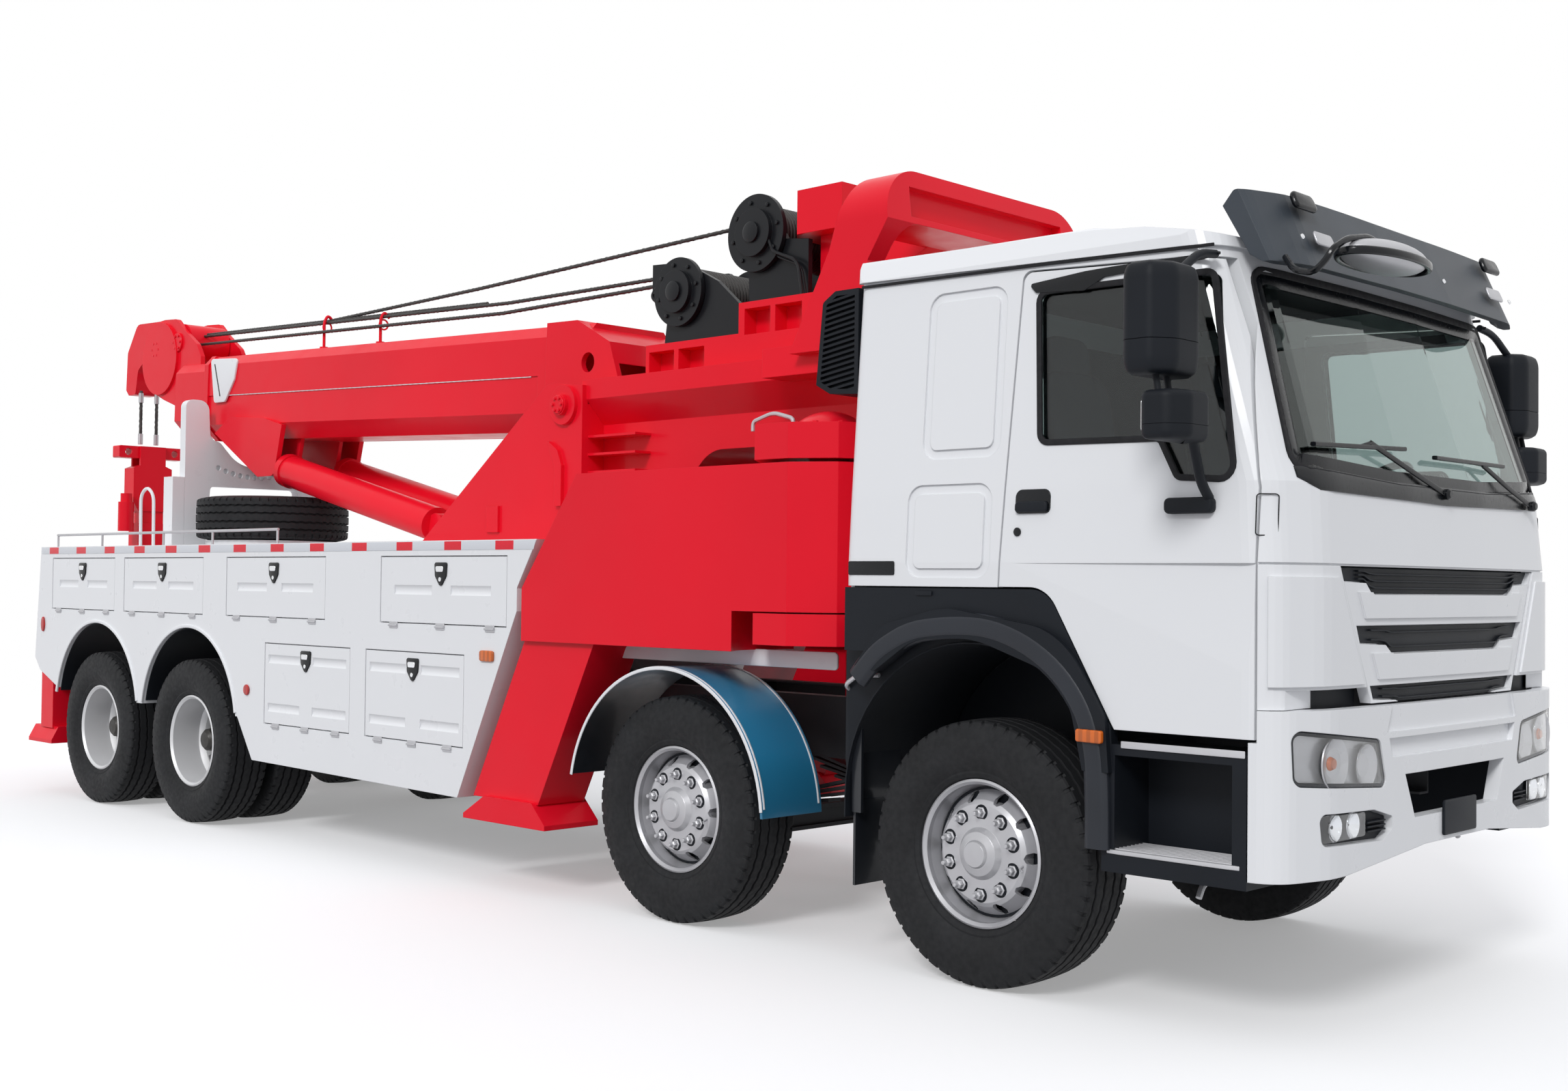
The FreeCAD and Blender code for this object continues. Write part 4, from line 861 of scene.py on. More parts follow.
# %% The colour card
WHITE, BLUE = (0.80, 0.81, 0.83), (0.020, 0.215, 0.400)
M = {
    "white": enamel("white_enamel", WHITE, 0.008, shine=0.25, coat=0.15),
    "red": enamel("signal_red_enamel", (0.80, 0.006, 0.022), 0.05, 0.32, 0.12, 0.1),
    "black": enamel("black_enamel", (0.008, 0.009, 0.011), 0.2, 0.35, 0.2, 0.05),
    "plastic": moulded("black_moulding", (0.008, 0.010, 0.014), 0.5, shine=0.18),
    "flare": moulded("arch_moulding", (0.020, 0.023, 0.030), 0.42, shine=0.3),
    "lined": lined_enamel("cab_enamel_and_lining", WHITE, (0.013, 0.016, 0.017)),
    "wheel_3": dished_wheel("wheel_silver_third_axle", -6.41),
    "wheel_4": dished_wheel("wheel_silver_fourth_axle", -7.76),
    "gloss_black": moulded("black_gloss_moulding", (0.004, 0.005, 0.007), 0.2, 60, 0.3),
    "grey": moulded("charcoal_moulding", (0.045, 0.054, 0.066), 0.42, shine=0.3),
    "trim": moulded("cab_trim_moulding", (0.10, 0.105, 0.11), 0.75, 500),
    "fabric": moulded("seat_fabric", (0.05, 0.055, 0.07), 0.85, 380, 0.1),
    "rubber": rubber("tyre_rubber", (0.010, 0.0105, 0.012)),
    "seal": rubber("window_seal_rubber", (0.008, 0.008, 0.010)),
    "silver": metal("wheel_silver", (0.50, 0.50, 0.52), 0.36, solid=0.55),
    "chrome": metal("bright_chrome", (0.75, 0.76, 0.78), 0.09, solid=1.0),
    "tread_plate": metal("aluminium_tread", (0.55, 0.55, 0.57), 0.42, solid=0.6),
    "steel": metal("painted_running_gear", (0.035, 0.036, 0.040), 0.6, solid=0.1),
    "rope": metal("greased_wire_rope", (0.055, 0.052, 0.050), 0.5, solid=0.5),
    "mirror": metal("mirror_silver", (0.85, 0.87, 0.88), 0.05, grain=8, solid=1.0),
    "glass": clear("green_glass", (0.52, 0.64, 0.60)),
    "dark_glass": clear("tinted_glass", (0.40, 0.46, 0.47)),
    "lens": clear("clear_lamp_lens", (0.96, 0.97, 0.98)),
    "amber": coloured_lens("amber_lens", (0.78, 0.16, 0.015)),
    "red_lens": coloured_lens("red_lens", (0.62, 0.02, 0.02)),
    "tape": blocks("reflective_tape", -7.6565, 0.457, 0.34),
    "guards": two_guards("mudguard_moulding", (0.010, 0.012, 0.016), BLUE),
}
print("finishes", len(M))

# %% [markdown]
# ## Material slots
# The construction names a slot for each kind of material, so that someone who reuses the truck can change all
# its rubber or all its white paint at once. Each new piece takes its finish from the colour card.

# %% [markdown]
# ## Dressing the construction
# Each node of the construction is one casting, pressing or weldment, and gets the finish that its
# real counterpart has. What there is on both sides is named once.

# %% Finish of each node
NODE_FINISH = {
    "white": "front_flap front_bumper tool_body locker_doors boom_cradle",
    "lined": "cab_shell",
    "red": "turret boom_outer boom_inner lift_barrels underlift_arm underlift_slider "
    "underlift_crossbar underlift_post",
    "black": "winches",
    "grey": "sun_visor",
    "guards": "mudguards",
    "plastic": "arches_and_steps air_intake",
    "trim": "cab_interior",
    "glass": "windscreen",
    "steel": "chassis_frame frame_members steered_axles drive_axles engine_block",
    "silver": "lift_rods",
    "rubber": "spare_tyre",
}
SIDED = {  # nodes that there are two of, right and left
    "lined": "cab_door",
    "red": "outrigger_arm outrigger_leg rear_jack",
    "plastic": "mirror",
    "dark_glass": "door_glass",
    "steel": "knuckle_1 knuckle_2",
    "silver": "wheel_1 wheel_2",
    "wheel_3": "wheel_3",
    "wheel_4": "wheel_4",
    "rubber": "tyre_1 tyre_2 tyre_3 tyre_4",
}
for finish, names in SIDED.items():
    own = " ".join(f"{name}_{word}" for name in names.split() for word, _ in SIDES)
    NODE_FINISH[finish] = NODE_FINISH.get(finish, "") + " " + own

for finish, names in NODE_FINISH.items():
    for name in names.split():
        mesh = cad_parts[name].data
        mesh.materials.clear()
        mesh.materials.append(M[finish])
plain = set(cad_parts) - set(" ".join(NODE_FINISH.values()).split())
print("dressed", sum(len(v.split()) for v in NODE_FINISH.values()), "nodes, left plain:", sorted(plain))

# %% [markdown]
# ## From arrays to a piece
# The four arrays go into a mesh in whole blocks, which is quick for any number of faces. The piece
# then rides on a body of the truck: a handle moves with its door, a nut turns with its wheel.

# %% Pieces


def piece(name, part, material, body="truck", soft=35):
    """Object from a part measured from the front axle, riding on a body, and smooth where its faces
    meet at less than 'soft' degrees."""
    points, loops, sizes, uv = part
    points = at(points)
    mesh = bpy.data.meshes.new(name)
    mesh.vertices.add(len(points))
    mesh.vertices.foreach_set("co", points.astype(np.float32).ravel())
    mesh.loops.add(len(loops))
    mesh.loops.foreach_set("vertex_index", loops.astype(np.int32))
    mesh.polygons.add(len(sizes))
    mesh.polygons.foreach_set("loop_start", (np.cumsum(sizes) - sizes).astype(np.int32))
    mesh.polygons.foreach_set("loop_total", sizes.astype(np.int32))
    mesh.update(calc_edges=True)
    layer = mesh.uv_layers.new(name="UVMap")
    layer.data.foreach_set("uv", uv.astype(np.float32).ravel())
    mesh.polygons.foreach_set("use_smooth", np.ones(len(sizes), bool))
    mesh.set_sharp_from_angle(angle=math.radians(soft))
    mesh.materials.append(M[material])
    mesh.validate()
    obj = bpy.data.objects.new(name, mesh)
    bpy.context.scene.collection.objects.link(obj)
    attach(obj, body)
    return obj


def pair(name, part, material, body="truck", soft=35):
    """The right-hand part and its mirror image, each on its own side's body."""
    if body == "truck":
        return [piece(name, both(part), material, body, soft)]
    sides = zip(SIDES, (part, mirror(part)))
    return [piece(f"{name}_{word}", own, material, f"{body}_{word}", soft) for (word, _), own in sides]


# %% [markdown]
# ## Tyres
# A truck tyre has a round-shouldered wall with raised rings and a crown cut by four grooves. One
# grid is enough: its columns follow the cross-section, its rows go round. Rows and columns that
# belong to a groove or a shoulder notch are simply set deeper.

# %% Tyre surface
TYRE_WALL = [
    (0.100, 0.310), (0.120, 0.300), (0.128, 0.306), (0.136, 0.322), (0.1345, 0.330), (0.146, 0.350),
    (0.1555, 0.385), (0.1575, 0.415), (0.155, 0.450), (0.149, 0.480), (0.1445, 0.498),
]
SHOULDER = [(0.1425, 0.508, 0.6), (0.135, 0.5245, 1), (0.127, 0.5305, 1), (0.118, 0.5313, 1)]  # y, r, notch
GROOVES = (0.083, 0.030)
PITCHES = 54
PITCH_ROWS = np.array([(0, 0), (0.06, 1), (0.24, 1), (0.30, 0), (0.65, 0)])  # (share, notch depth)
CROWN_FALL, GROOVE_DEPTH, NOTCH_DEPTH, GROOVE_SWING = 0.0055, 0.014, 0.009, 0.003


def tyre():
    """Tyre about the Y axis. The crown is r = R - 5.5 mm (y / 127 mm)^2, its grooves are 14 mm deep
    and swing 3 mm from side to side, and the notches cut 9 mm into the shoulder."""
    still = np.zeros(len(TYRE_WALL) + len(SHOULDER))
    offsets = np.array([0.0075, 0.0045, -0.0045, -0.0075])
    crown = np.r_[0.112, (np.array(GROOVES)[:, None] + offsets).ravel()]
    depth = np.r_[0, np.tile([0.0, 1, 1, 0], len(GROOVES))]
    y = np.r_[[p[0] for p in TYRE_WALL], [p[0] for p in SHOULDER], crown]
    crown_r = TYRE_R - CROWN_FALL * (crown / 0.127) ** 2 - GROOVE_DEPTH * depth
    r = np.r_[[p[1] for p in TYRE_WALL], [p[1] for p in SHOULDER], crown_r]
    notch = np.r_[0 * still[: len(TYRE_WALL)], [p[2] for p in SHOULDER], 0 * crown]
    swing = np.r_[still, 0, np.ones(len(crown) - 1)]
    y, r = np.r_[y, 0, -y[::-1]], np.r_[r, TYRE_R, r[::-1]]
    notch, swing = np.r_[notch, 0, notch[::-1]], np.r_[swing, 0, swing[::-1]]
    turn = (np.arange(PITCHES)[:, None] + PITCH_ROWS[:, 0]).ravel() * 2 * np.pi / PITCHES
    cut = np.tile(PITCH_ROWS[:, 1], PITCHES)
    radius = r[None] - NOTCH_DEPTH * cut[:, None] * notch
    across = y[None] + GROOVE_SWING * np.sin(turn * PITCHES)[:, None] * swing
    c, s = np.cos(turn)[:, None], np.sin(turn)[:, None]
    return outward(grid(np.stack([radius * c, across, radius * s], -1), True, True))


TYRE = tyre()
print("one tyre has", len(TYRE[2]), "faces")

# %% [markdown]
# ## Fitting the tyres
# The steered axles carry one tyre a side and the driven ones two. The pieces stand in for the plain
# rings of the construction, and the spare lies flat on the deck.

# %% Tyres on the wheels
AXLE = np.array([0, -1.8, -6.41, -7.76])
HUB_Z = 0.536
SINGLE, TWIN = [1.015], [0.74, 1.09]  # distances of the tyres' middles from the truck's middle
FLAT = [[[1, 0, 0], [0, 0, 1], [0, -1, 0]]]
WHEELS = [(n, word, sign) for n in (1, 2, 3, 4) for word, sign in SIDES]
for n, word, sign in WHEELS:
    tracks = SINGLE if n < 3 else TWIN
    made = copies(TYRE, [(AXLE[n - 1], sign * y, HUB_Z) for y in tracks])
    made = piece(f"tread_{n}_{word}", made, "rubber", f"wheel_{n}_{word}", soft=24)
    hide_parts(f"tyre_{n}_{word}")
spare_middle = middle("spare_tyre") - (AXLE_X[0], 0, 0)
spare = piece("spare_tread", copies(TYRE, [spare_middle], FLAT), "rubber", soft=24)
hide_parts("spare_tyre")
print("tyres on", len(WHEELS), "wheels, and a spare")

# %% [markdown]
# ## Wheel nuts
# Ten nuts on a 328 mm circle hold each wheel. A nut is a turned shape with only six sides, so its
# flats come for free, and the stud is a finer turned shape inside it. A small bent tube is the
# valve.

# %% Nuts, studs and valves
STUD_CIRCLE, STUDS = 0.164, 10
NUT = [
    (0.001, 0), (0.0235, 0), (0.0235, 0.005), (0.018, 0.008), (0.018, 0.026), (0.013, 0.031), (0.001, 0.031),
]
STUD = [(0.001, 0.02), (0.010, 0.02), (0.010, 0.046), (0.008, 0.05), (0.001, 0.05)]
HUB_CAP = [(0.001, -0.004), (0.060, -0.004), (0.058, 0), (0.050, 0.012), (0.001, 0.016)]
SHAFT_BOLT = [(0.001, 0), (0.011, 0), (0.011, 0.008), (0.008, 0.011), (0.001, 0.011)]


def stud_places(n, face_y):
    """Where the ten studs of axle n stand, on the wheel's face."""
    return around((AXLE[n - 1], face_y, HUB_Z), STUD_CIRCLE, STUDS, np.pi / STUDS)


for n, word, sign in WHEELS:
    steered = n < 3
    x, out = AXLE[n - 1], (0, sign, 0)
    face = 1.1275 if steered else 0.938
    made = [copies(join([knob(NUT, axis=out), knob(STUD, axis=out, steps=10)]), stud_places(n, sign * face))]
    if steered:
        made.append(knob(HUB_CAP, (x, sign * 1.164, HUB_Z), out, 32))
    else:
        made.append(copies(knob(SHAFT_BOLT, axis=out), around((x, sign * 1.014, HUB_Z), 0.077, 8)))
    valve = [(0.20, face - 0.005, -0.03), (0.215, face + 0.03, -0.035), (0.235, face + 0.045, -0.04)]
    made.append(tube(np.array(valve) * (1, sign, 1) + (x, 0, HUB_Z), 0.005, 8))
    piece(f"wheel_nuts_{n}_{word}", join(made), "silver", f"wheel_{n}_{word}")
print("nuts", STUDS * len(WHEELS))

# %% [markdown]
# ## Painted shade in the front wheels
# Each nut of a front wheel sits in a round recess, and the openings near the rim look into shadow. Dark discs
# under the nuts are painted shade in the recesses, and a dark ring behind the openings is the painted shadow
# seen through them.

# %% Recesses
RECESS_SHADE = [(0.001, -0.003), (0.033, -0.003), (0.031, 0.002), (0.001, 0.002)]
OPENING_SHADE_RING = [(0.15, 0), (0.262, 0), (0.262, 0.006), (0.15, 0.006)]
for n, word, sign in WHEELS[:4]:
    # painted shade: black discs under the nuts and a black ring behind the openings stand in for shade
    discs = copies(knob(RECESS_SHADE, axis=(0, sign, 0), steps=24), stud_places(n, sign * 1.1275))
    backing = turned(OPENING_SHADE_RING, (AXLE[n - 1], sign * 1.05, HUB_Z), (0, sign, 0), 48)
    piece(f"painted_recess_shade_{n}_{word}", join([discs, backing]), "plastic", f"wheel_{n}_{word}")
print("recesses on the steered wheels")

# %% [markdown]
# ## Arch linings
# Behind each wheel there is a black lining that keeps spray off the frame. It is a thin strip bent
# round an arc; the front one also closes the arch towards the engine and behind the flare. It is
# wide enough for the wheel to steer inside it.

# %% Front arch lining
def arc(centre, radius, start, end, y, steps=28, foot=None):
    """Points on an arc in the upright plane at y; foot adds straight legs down to that height."""
    a = np.radians(np.linspace(start, end, steps))
    p = np.stack([centre[0] + radius * np.cos(a), 0 * a + y, centre[1] + radius * np.sin(a)], 1)
    if foot is not None:
        p = np.vstack([(p[0][0], y, foot), p, (p[-1][0], y, foot)])
    return p


def hoop(path, half_width, thick):
    """Flat strip across the truck, bent round a wheel: its profile lies across the path."""
    profile = rectangle(-half_width, half_width, 0, thick, 0)
    return strip(path, profile, path - path.mean(0))


ARCH, ARCH_R = (-0.01, 0.712), 0.664
lining = hoop(arc(ARCH, ARCH_R, 0, 180, -0.846, foot=0.62), 0.346, 0.006)
wall = arc(ARCH, 0.660, 12, 168, 0)[:, ::2]
engine_wall = plate(wall, plane(1, -0.503, -1), 0, 0.006, 0.001)
behind = [(-0.69, 0.86), (-0.69, 1.42), (-0.60, 1.50), (0.16, 1.50)]
ahead = arc(ARCH, 0.76, 70, 30, 0, 9)[:, ::2]
gap = np.vstack([arc(ARCH, ARCH_R, 30, 175, 0)[:, ::2], behind, ahead])
closing = plate(gap, plane(1, -1.170, -1), 0, 0.006, 0.001)
pair("arch_lining_front", join([lining, engine_wall, closing]), "plastic")
print("front lining radius", ARCH_R)

# %% [markdown]
# ## Rear arches
# The two rear arches have a lining each and a folded white lip along the edge of the body, which is
# the bright line that separates the body from the dark opening.

# %% Rear arches
REAR_ARCH_Z = HUB_Z + 0.098
linings = [hoop(arc((x, REAR_ARCH_Z), 0.636, 12, 168, -0.93), 0.30, 0.006) for x in AXLE[2:]]
pair("arch_lining_rear", join(linings), "plastic")
lip = cross_section(0.022, 0.016)
lips = [strip(arc((x, REAR_ARCH_Z), 0.653, 11, 169, -1.252, 40), lip, (0, -1, 0)) for x in AXLE[2:]]
pair("arch_lips_rear", join(lips), "white")
print("rear arches", len(lips))

# %% [markdown]
# ## The flare
# A moulded flare frames the front arch and runs down beside the step. Its path is not quite a
# circle, so it is given by points, and one profile with a rounded back is carried along it.

# %% Flare
FLARE_LINE = [
    (-0.555, 1.215), (-0.52, 1.255), (-0.44, 1.335), (-0.27, 1.425), (-0.05, 1.450), (0.14, 1.445),
    (0.32, 1.385), (0.47, 1.285), (0.575, 1.150), (0.622, 1.000), (0.632, 0.800), (0.632, 0.640),
]
FLARE_PROFILE = [
    (-0.052, -0.006), (0.052, -0.006), (0.052, 0.010, 0.008), (0.030, 0.026, 0.02),
    (-0.030, 0.026, 0.02), (-0.052, 0.010, 0.008),
]
flare_line = smooth_path([(x, -HALF_WIDTH, z) for x, z in FLARE_LINE], 0.09, 4)
pair("arch_flare", strip(flare_line, rounded(FLARE_PROFILE, 3), (0, -1, 0)), "flare")
print("flare drawn through", len(FLARE_LINE), "points")

# %% [markdown]
# ## Window seals
# Each pane sits in a black rubber seal, which is a small profile carried round the opening. Inside
# the windscreen's seal a printed black border hides the glue.

# %% Seals
WINDOW = rounded([
    (0.340, 2.160, 0.04), (0.870, 2.150, 0.03), (0.950, 2.005, 0.03), (1.180, 1.990, 0.05),
    (1.065, 2.745, 0.04), (0.300, 2.750, 0.04),
])
SCREEN = rounded([
    (-1.09, 2.03, 0.06), (-0.40, 1.995), (0.40, 1.995), (1.09, 2.03, 0.06), (1.0, 2.765, 0.06),
    (-1.0, 2.765, 0.06),
])


def dense(outline, step=0.05):
    """Outline with points at most a step apart, for bending onto a curved panel."""
    ends = np.roll(outline, -1, 0)
    counts = np.maximum(np.ceil(np.linalg.norm(ends - outline, axis=1) / step).astype(int), 1)
    shares = [np.linspace(0, 1, count, endpoint=False)[:, None] for count in counts]
    return np.vstack([a + (b - a) * share for a, b, share in zip(outline, ends, shares)])


def seal(path, width, height, up):
    """Closed bar with a rounded rectangle for its section, carried round an opening."""
    return strip(path, cross_section(width, height), up, closed=True)


pair("window_seal", seal(on_cab_side(dense(WINDOW), 0.001), 0.024, 0.012, (0, -1, 0)), "seal", "door")
around_screen = on_front(dense(shrunk(SCREEN, -0.004)), 0.001)
piece("screen_seal", seal(around_screen, 0.030, 0.010, (1, 0, 0)), "seal")
inside_screen = on_front(dense(shrunk(SCREEN, 0.034)), -0.009)
piece("screen_border", seal(inside_screen, 0.052, 0.003, (1, 0, 0)), "gloss_black")
print("seals round the doors' windows and the windscreen")

# %% [markdown]
# ## Door handle and lock
# The handle is a lever in front of a dark cup, with the lock's round face below. They ride on the
# door, so they swing open with it.

# %% Door handle and lock
LOCK = [(0.001, 0), (0.017, 0), (0.017, 0.003), (0.013, 0.005), (0.001, 0.005)]
cup = plate(rectangle(0.238, 0.402, 1.887, 1.981, 0.02, 0.02, 0.03, 0.03), on_cab_side, -0.002, 0.004)
lock = knob(LOCK, (0.253, -1.246, 1.817), steps=20)
pair("door_handle_cup", join([cup, lock]), "gloss_black", "door")
lever = rectangle(0.246, 0.394, 1.893, 1.934, 0.012, 0.012, 0.015, 0.015)
pair("door_handle_lever", plate(lever, on_cab_side, 0.003, 0.020, 0.006), "plastic", "door")
print("door handles done")

# %% [markdown]
# ## Rain deflector and gutter
# A dark deflector over the window keeps rain out when the window is open, and a rubber gutter runs
# along the roof. One is a flat outline on the door, the other a bar along the roof's edge.

# %% Rain deflector and gutter
DEFLECTOR = [
    (0.252, 2.786, 0.01), (0.289, 2.748, 0.01), (0.513, 2.732, 0.03), (0.600, 2.774, 0.02),
    (0.685, 2.778), (1.013, 2.789), (1.087, 2.800, 0.004), (1.087, 2.812, 0.004), (0.659, 2.812, 0.02),
    (0.512, 2.808),
]
pair("rain_deflector", plate(rounded(DEFLECTOR), on_cab_side, 0.001, 0.010, 0.004), "gloss_black", "door")
gutter_line = np.array([(-0.62, -1.176, 2.872), (0.3, -1.178, 2.858), (1.06, -1.18, 2.840)])
pair("roof_gutter", strip(gutter_line, cross_section(0.012, 0.008), (0, -1, 0)), "seal")
print("deflector and gutter done")

# %% [markdown]
# ## Plates and seams on the cab's side
# A bare plate, a short slot and the seam of the pillar's cover break up the large white side. The
# seam bends round the cab's front corner, so its depth comes from how far the corner falls back.

# %% Plates and seams
bare = rectangle(-0.616, -0.363, 1.647, 1.705, 0.008)
pair("bare_plate", plate(bare, on_cab_side, 0, 0.004, 0.002), "gloss_black")
slot = rectangle(-0.25, -0.166, 1.565, 1.584, 0.006)
pair("side_slot", plate(slot, on_cab_side, 0, 0.002, 0.001), "plastic")
pillar = dense(rectangle(1.262, 1.318, 1.793, 1.937, 0.01))
inside = np.interp(1.41 - pillar[:, 0], [0.085, 0.115, 0.15, 0.21], [0.08, 0.04, 0.015, 0.0])
pair("pillar_cover_seam", seal(on_cab_side(pillar, 0.011 - inside), 0.004, 0.003, (0, -1, 0)), "seal")
print("pillar seam drawn in by up to", round(float(inside.max()), 3))

# %% [markdown]
# ## Steps and side lamps
# The two steps under the door have bright ribbed treads, and a strip of the same metal edges the
# panel above. The orange lamp below the door blinks when the truck turns, and a peg and a hook for
# the mudguard's flap are bent round bars.

# %% Steps
kick = plate(rectangle(0.729, 1.232, 1.018, 1.044, 0.004), plane(1, -1.247, -1), 0, 0.004, 0.002)
STEP = [
    (0.669, -1.246), (0.721, -1.252, 0.02), (1.163, -1.252, 0.02), (1.210, -1.246), (1.210, -1.02),
    (0.669, -1.02),
]
step = plate(rounded(STEP), plane(2, 0.640), -0.012, 0.004, 0.003)
RIB_LINES = np.linspace(-1.235, -1.05, 8)
ribs = [bar((0.70, y, z), (1.19, y, z), 0.004, 6) for z in (0.646, 0.999) for y in RIB_LINES]
pair("step_treads", join([kick, step, *ribs]), "tread_plate")
indicator = rounded([(0.554, 1.032, 0.01), (0.668, 1.030, 0.01), (0.668, 1.078, 0.01), (0.554, 1.080, 0.01)])
pair("side_indicator", plate(indicator, on_body_side, 0.010, 0.040, 0.006), "amber")
peg = pipe([(0.984, -1.02, 0.545), (0.984, -1.10, 0.535), (0.984, -1.13, 0.49)], 0.02, 0.012, 8)
HOOK = [(-0.676, -1.15, 1.150), (-0.676, -1.2, 1.179), (-0.607, -1.2, 1.223), (-0.485, -1.2, 1.229)]
pair("step_peg_and_guard_hook", join([peg, pipe(HOOK, 0.03, 0.010, 8)]), "silver")
print("ribs on the steps", len(ribs))

# %% [markdown]
# ## Cowl
# Below the windscreen a black cowl hides the wipers' shafts. Its top and bottom edges are curves
# over the width, so a bar with a changing height follows the front.

# %% Cowl
cowl_run = np.linspace(-1.09, 1.09, 45)
cowl_top = np.interp(np.abs(cowl_run), [0.46, 1.02], [2.012, 2.040])
cowl_low = np.interp(np.abs(cowl_run), [0, 1.0, 1.09], [1.940, 1.958, 2.000])
piece("cowl", band(cowl_run, cowl_low, cowl_top, on_front, 0.0, 0.010, 0.3), "gloss_black")
print("cowl is", round(float((cowl_top - cowl_low).max()), 3), "high")

# %% [markdown]
# ## Wipers
# A wiper is a hub, a flat arm that bends over the cowl, and a blade on a clip. Both lie parked in
# the same direction. Strips keep the arm and the blade flat against the glass.

# %% Wipers
WIPER_HUB = [(0.001, -0.01), (0.020, -0.01), (0.022, 0.012), (0.014, 0.022), (0.001, 0.022)]
OFF_GLASS = 0.014
WIPER_POINTS = np.array([  # for each wiper: pivot, elbow and tip of the arm, and the blade's two ends
    [(1.402, -0.027, 1.984), (1.377, -0.30, 2.066), (1.35, -0.574, 2.152),
     (1.330, -0.99, 2.122), (1.352, -0.30, 2.146)],
    [(1.3964, 0.859, 1.972), (1.383, 0.626, 2.045), (1.358, 0.435, 2.127),
     (1.357, -0.037, 2.129), (1.355, 0.64, 2.132)],
])


def wiper(pivot, elbow, tip, blade_start, blade_end):
    """Wiper arm and blade: the arm is a flat bar, the blade a ridged strip beside it."""
    hub = knob(WIPER_HUB, pivot, (1, 0, 0), 20)
    arm = strip(smooth_path([pivot, elbow, tip], 0.05), cross_section(0.020, 0.010), (1, 0, 0))
    ends = np.array([blade_start, blade_end])
    blade = strip(ends + (0.004, 0, 0), cross_section(0.016, 0.022), (1, 0, 0))
    return join([hub, arm, blade, bar(tip, ends.mean(0), 0.007, 8)])


piece("wipers", join([wiper(*(points + (OFF_GLASS, 0, 0))) for points in WIPER_POINTS]), "gloss_black")
print("wipers", len(WIPER_POINTS))

# %% [markdown]
# ## Headlamps
# The lamps are deep: a tray, two turned reflectors, an orange bulb, and a clear lens that follows
# the curve of the corner. Each layer is a plate at its own depth, so light really passes through.

# %% Headlamp layers
HEADLAMP = rounded([(-1.17, 0.925, 0.04), (-1.18, 1.122, 0.04), (-0.655, 1.068, 0.04), (-0.60, 0.888, 0.03)])
LAMP_STEP = 0.04
lens = plate(dense(shrunk(HEADLAMP, 0.004), LAMP_STEP), on_bumper, -0.008, -0.003, 0.002, fill=8)
pair("headlamp_lens", lens, "lens")
tray = plate(dense(shrunk(HEADLAMP, 0.002), LAMP_STEP), on_bumper, -0.034, -0.030, 0.001, fill=8)
pair("headlamp_tray", tray, "silver")
bezel_line = on_bumper(dense(shrunk(HEADLAMP, 0.008), LAMP_STEP), -0.010)
pair("headlamp_bezel", seal(bezel_line, 0.016, 0.012, (1, 0, 0)), "flare")
print("headlamp outline has", len(HEADLAMP), "points")

# %% [markdown]
# ## Reflectors and bulb
# A reflector is a parabola turned about its axis, which sends the bulb's light straight ahead. The
# turn lamp's bulb is a small orange dome in the outer bowl.

# %% Reflectors and bulb


def bowl(centre, radius, depth):
    """Lamp reflector: a parabola of revolution, depth * (r / R)^2, with a rolled rim."""
    r = np.linspace(0.004, radius, 9)
    inner = [(a, -depth + depth * (a / radius) ** 2) for a in r]
    rim = [(radius + 0.004, 0.002), (radius + 0.006, -0.004)]
    back = [(a, b - 0.005) for a, b in inner[::-1]]
    return turned([*inner, *rim, *back], centre, (1, 0, 0), 40)


LAMP_BOWLS = ((-0.735, 0.975, 0.074), (-0.955, 0.995, 0.090))
BULB = [(0.001, -0.03), (0.020, -0.03), (0.026, -0.012), (0.018, 0.004), (0.001, 0.006)]
bowls = [bowl((bumper_x(y) - 0.012, y, z), r, 0.026) for y, z, r in LAMP_BOWLS]
pair("headlamp_reflectors", join(bowls), "silver")
bulb = knob(BULB, (bumper_x(-0.955) - 0.02, -0.955, 0.995), (1, 0, 0), 24)
pair("headlamp_turn_bulb", bulb, "amber")
print("reflectors a side", len(bowls))

# %% [markdown]
# ## Fog lamps
# Low in the bumper a dark tray holds two bright bowls behind a lens, with three thin fins beside
# it. They are made as the headlamps are, only smaller.

# %% Fog lamps
fog = rounded([(-1.062, 0.720, 0.02), (-1.056, 0.820, 0.02), (-0.755, 0.812, 0.01), (-0.755, 0.728, 0.01)])
fog_tray = rounded([
    (-1.058, 0.716, 0.02), (-1.060, 0.824, 0.02), (-0.70, 0.814), (-0.564, 0.780, 0.01),
    (-0.564, 0.738, 0.01), (-0.632, 0.704, 0.02),
])
pair("fog_lamp_tray", plate(dense(fog_tray, 0.03), on_bumper, -0.034, -0.030, 0.001, fill=6), "plastic")
pair("fog_lamp_lens", plate(dense(fog, 0.03), on_bumper, -0.010, -0.004, 0.002, fill=6), "lens")
cells = [bowl((bumper_x(y) - 0.012, y, 0.771), 0.042, 0.018) for y in (-0.835, -0.955)]
pair("fog_lamp_reflectors", join(cells), "chrome")
fin_run = np.linspace(-0.735, -0.60, 6)
fins = [band(fin_run, z, z + 0.006, on_bumper, -0.032, -0.006) for z in (0.736, 0.752, 0.768)]
pair("bumper_fins", join(fins), "plastic")
print("fog lamp bowls a side", len(cells))

# %% [markdown]
# ## Number plate holder and corner slots
# A black holder for the number plate hangs under the bumper's opening, and a dark slot beside the
# grille lets air round the corner.

# %% Holder and corner slots
holder = rectangle(-0.15, 0.15, 0.672, 0.806, 0.01)
piece("plate_holder", plate(holder, plane(0, BUMPER_FACE), 0.0, 0.012, 0.004), "plastic")
corner_run = np.linspace(-1.19, -0.66, 12)
corner_slot = band(corner_run, 1.150, 1.262, on_front, -0.075, -0.068, 0.05)
pair("corner_slot_backing", corner_slot, "plastic")
print("holder and corner slots done")

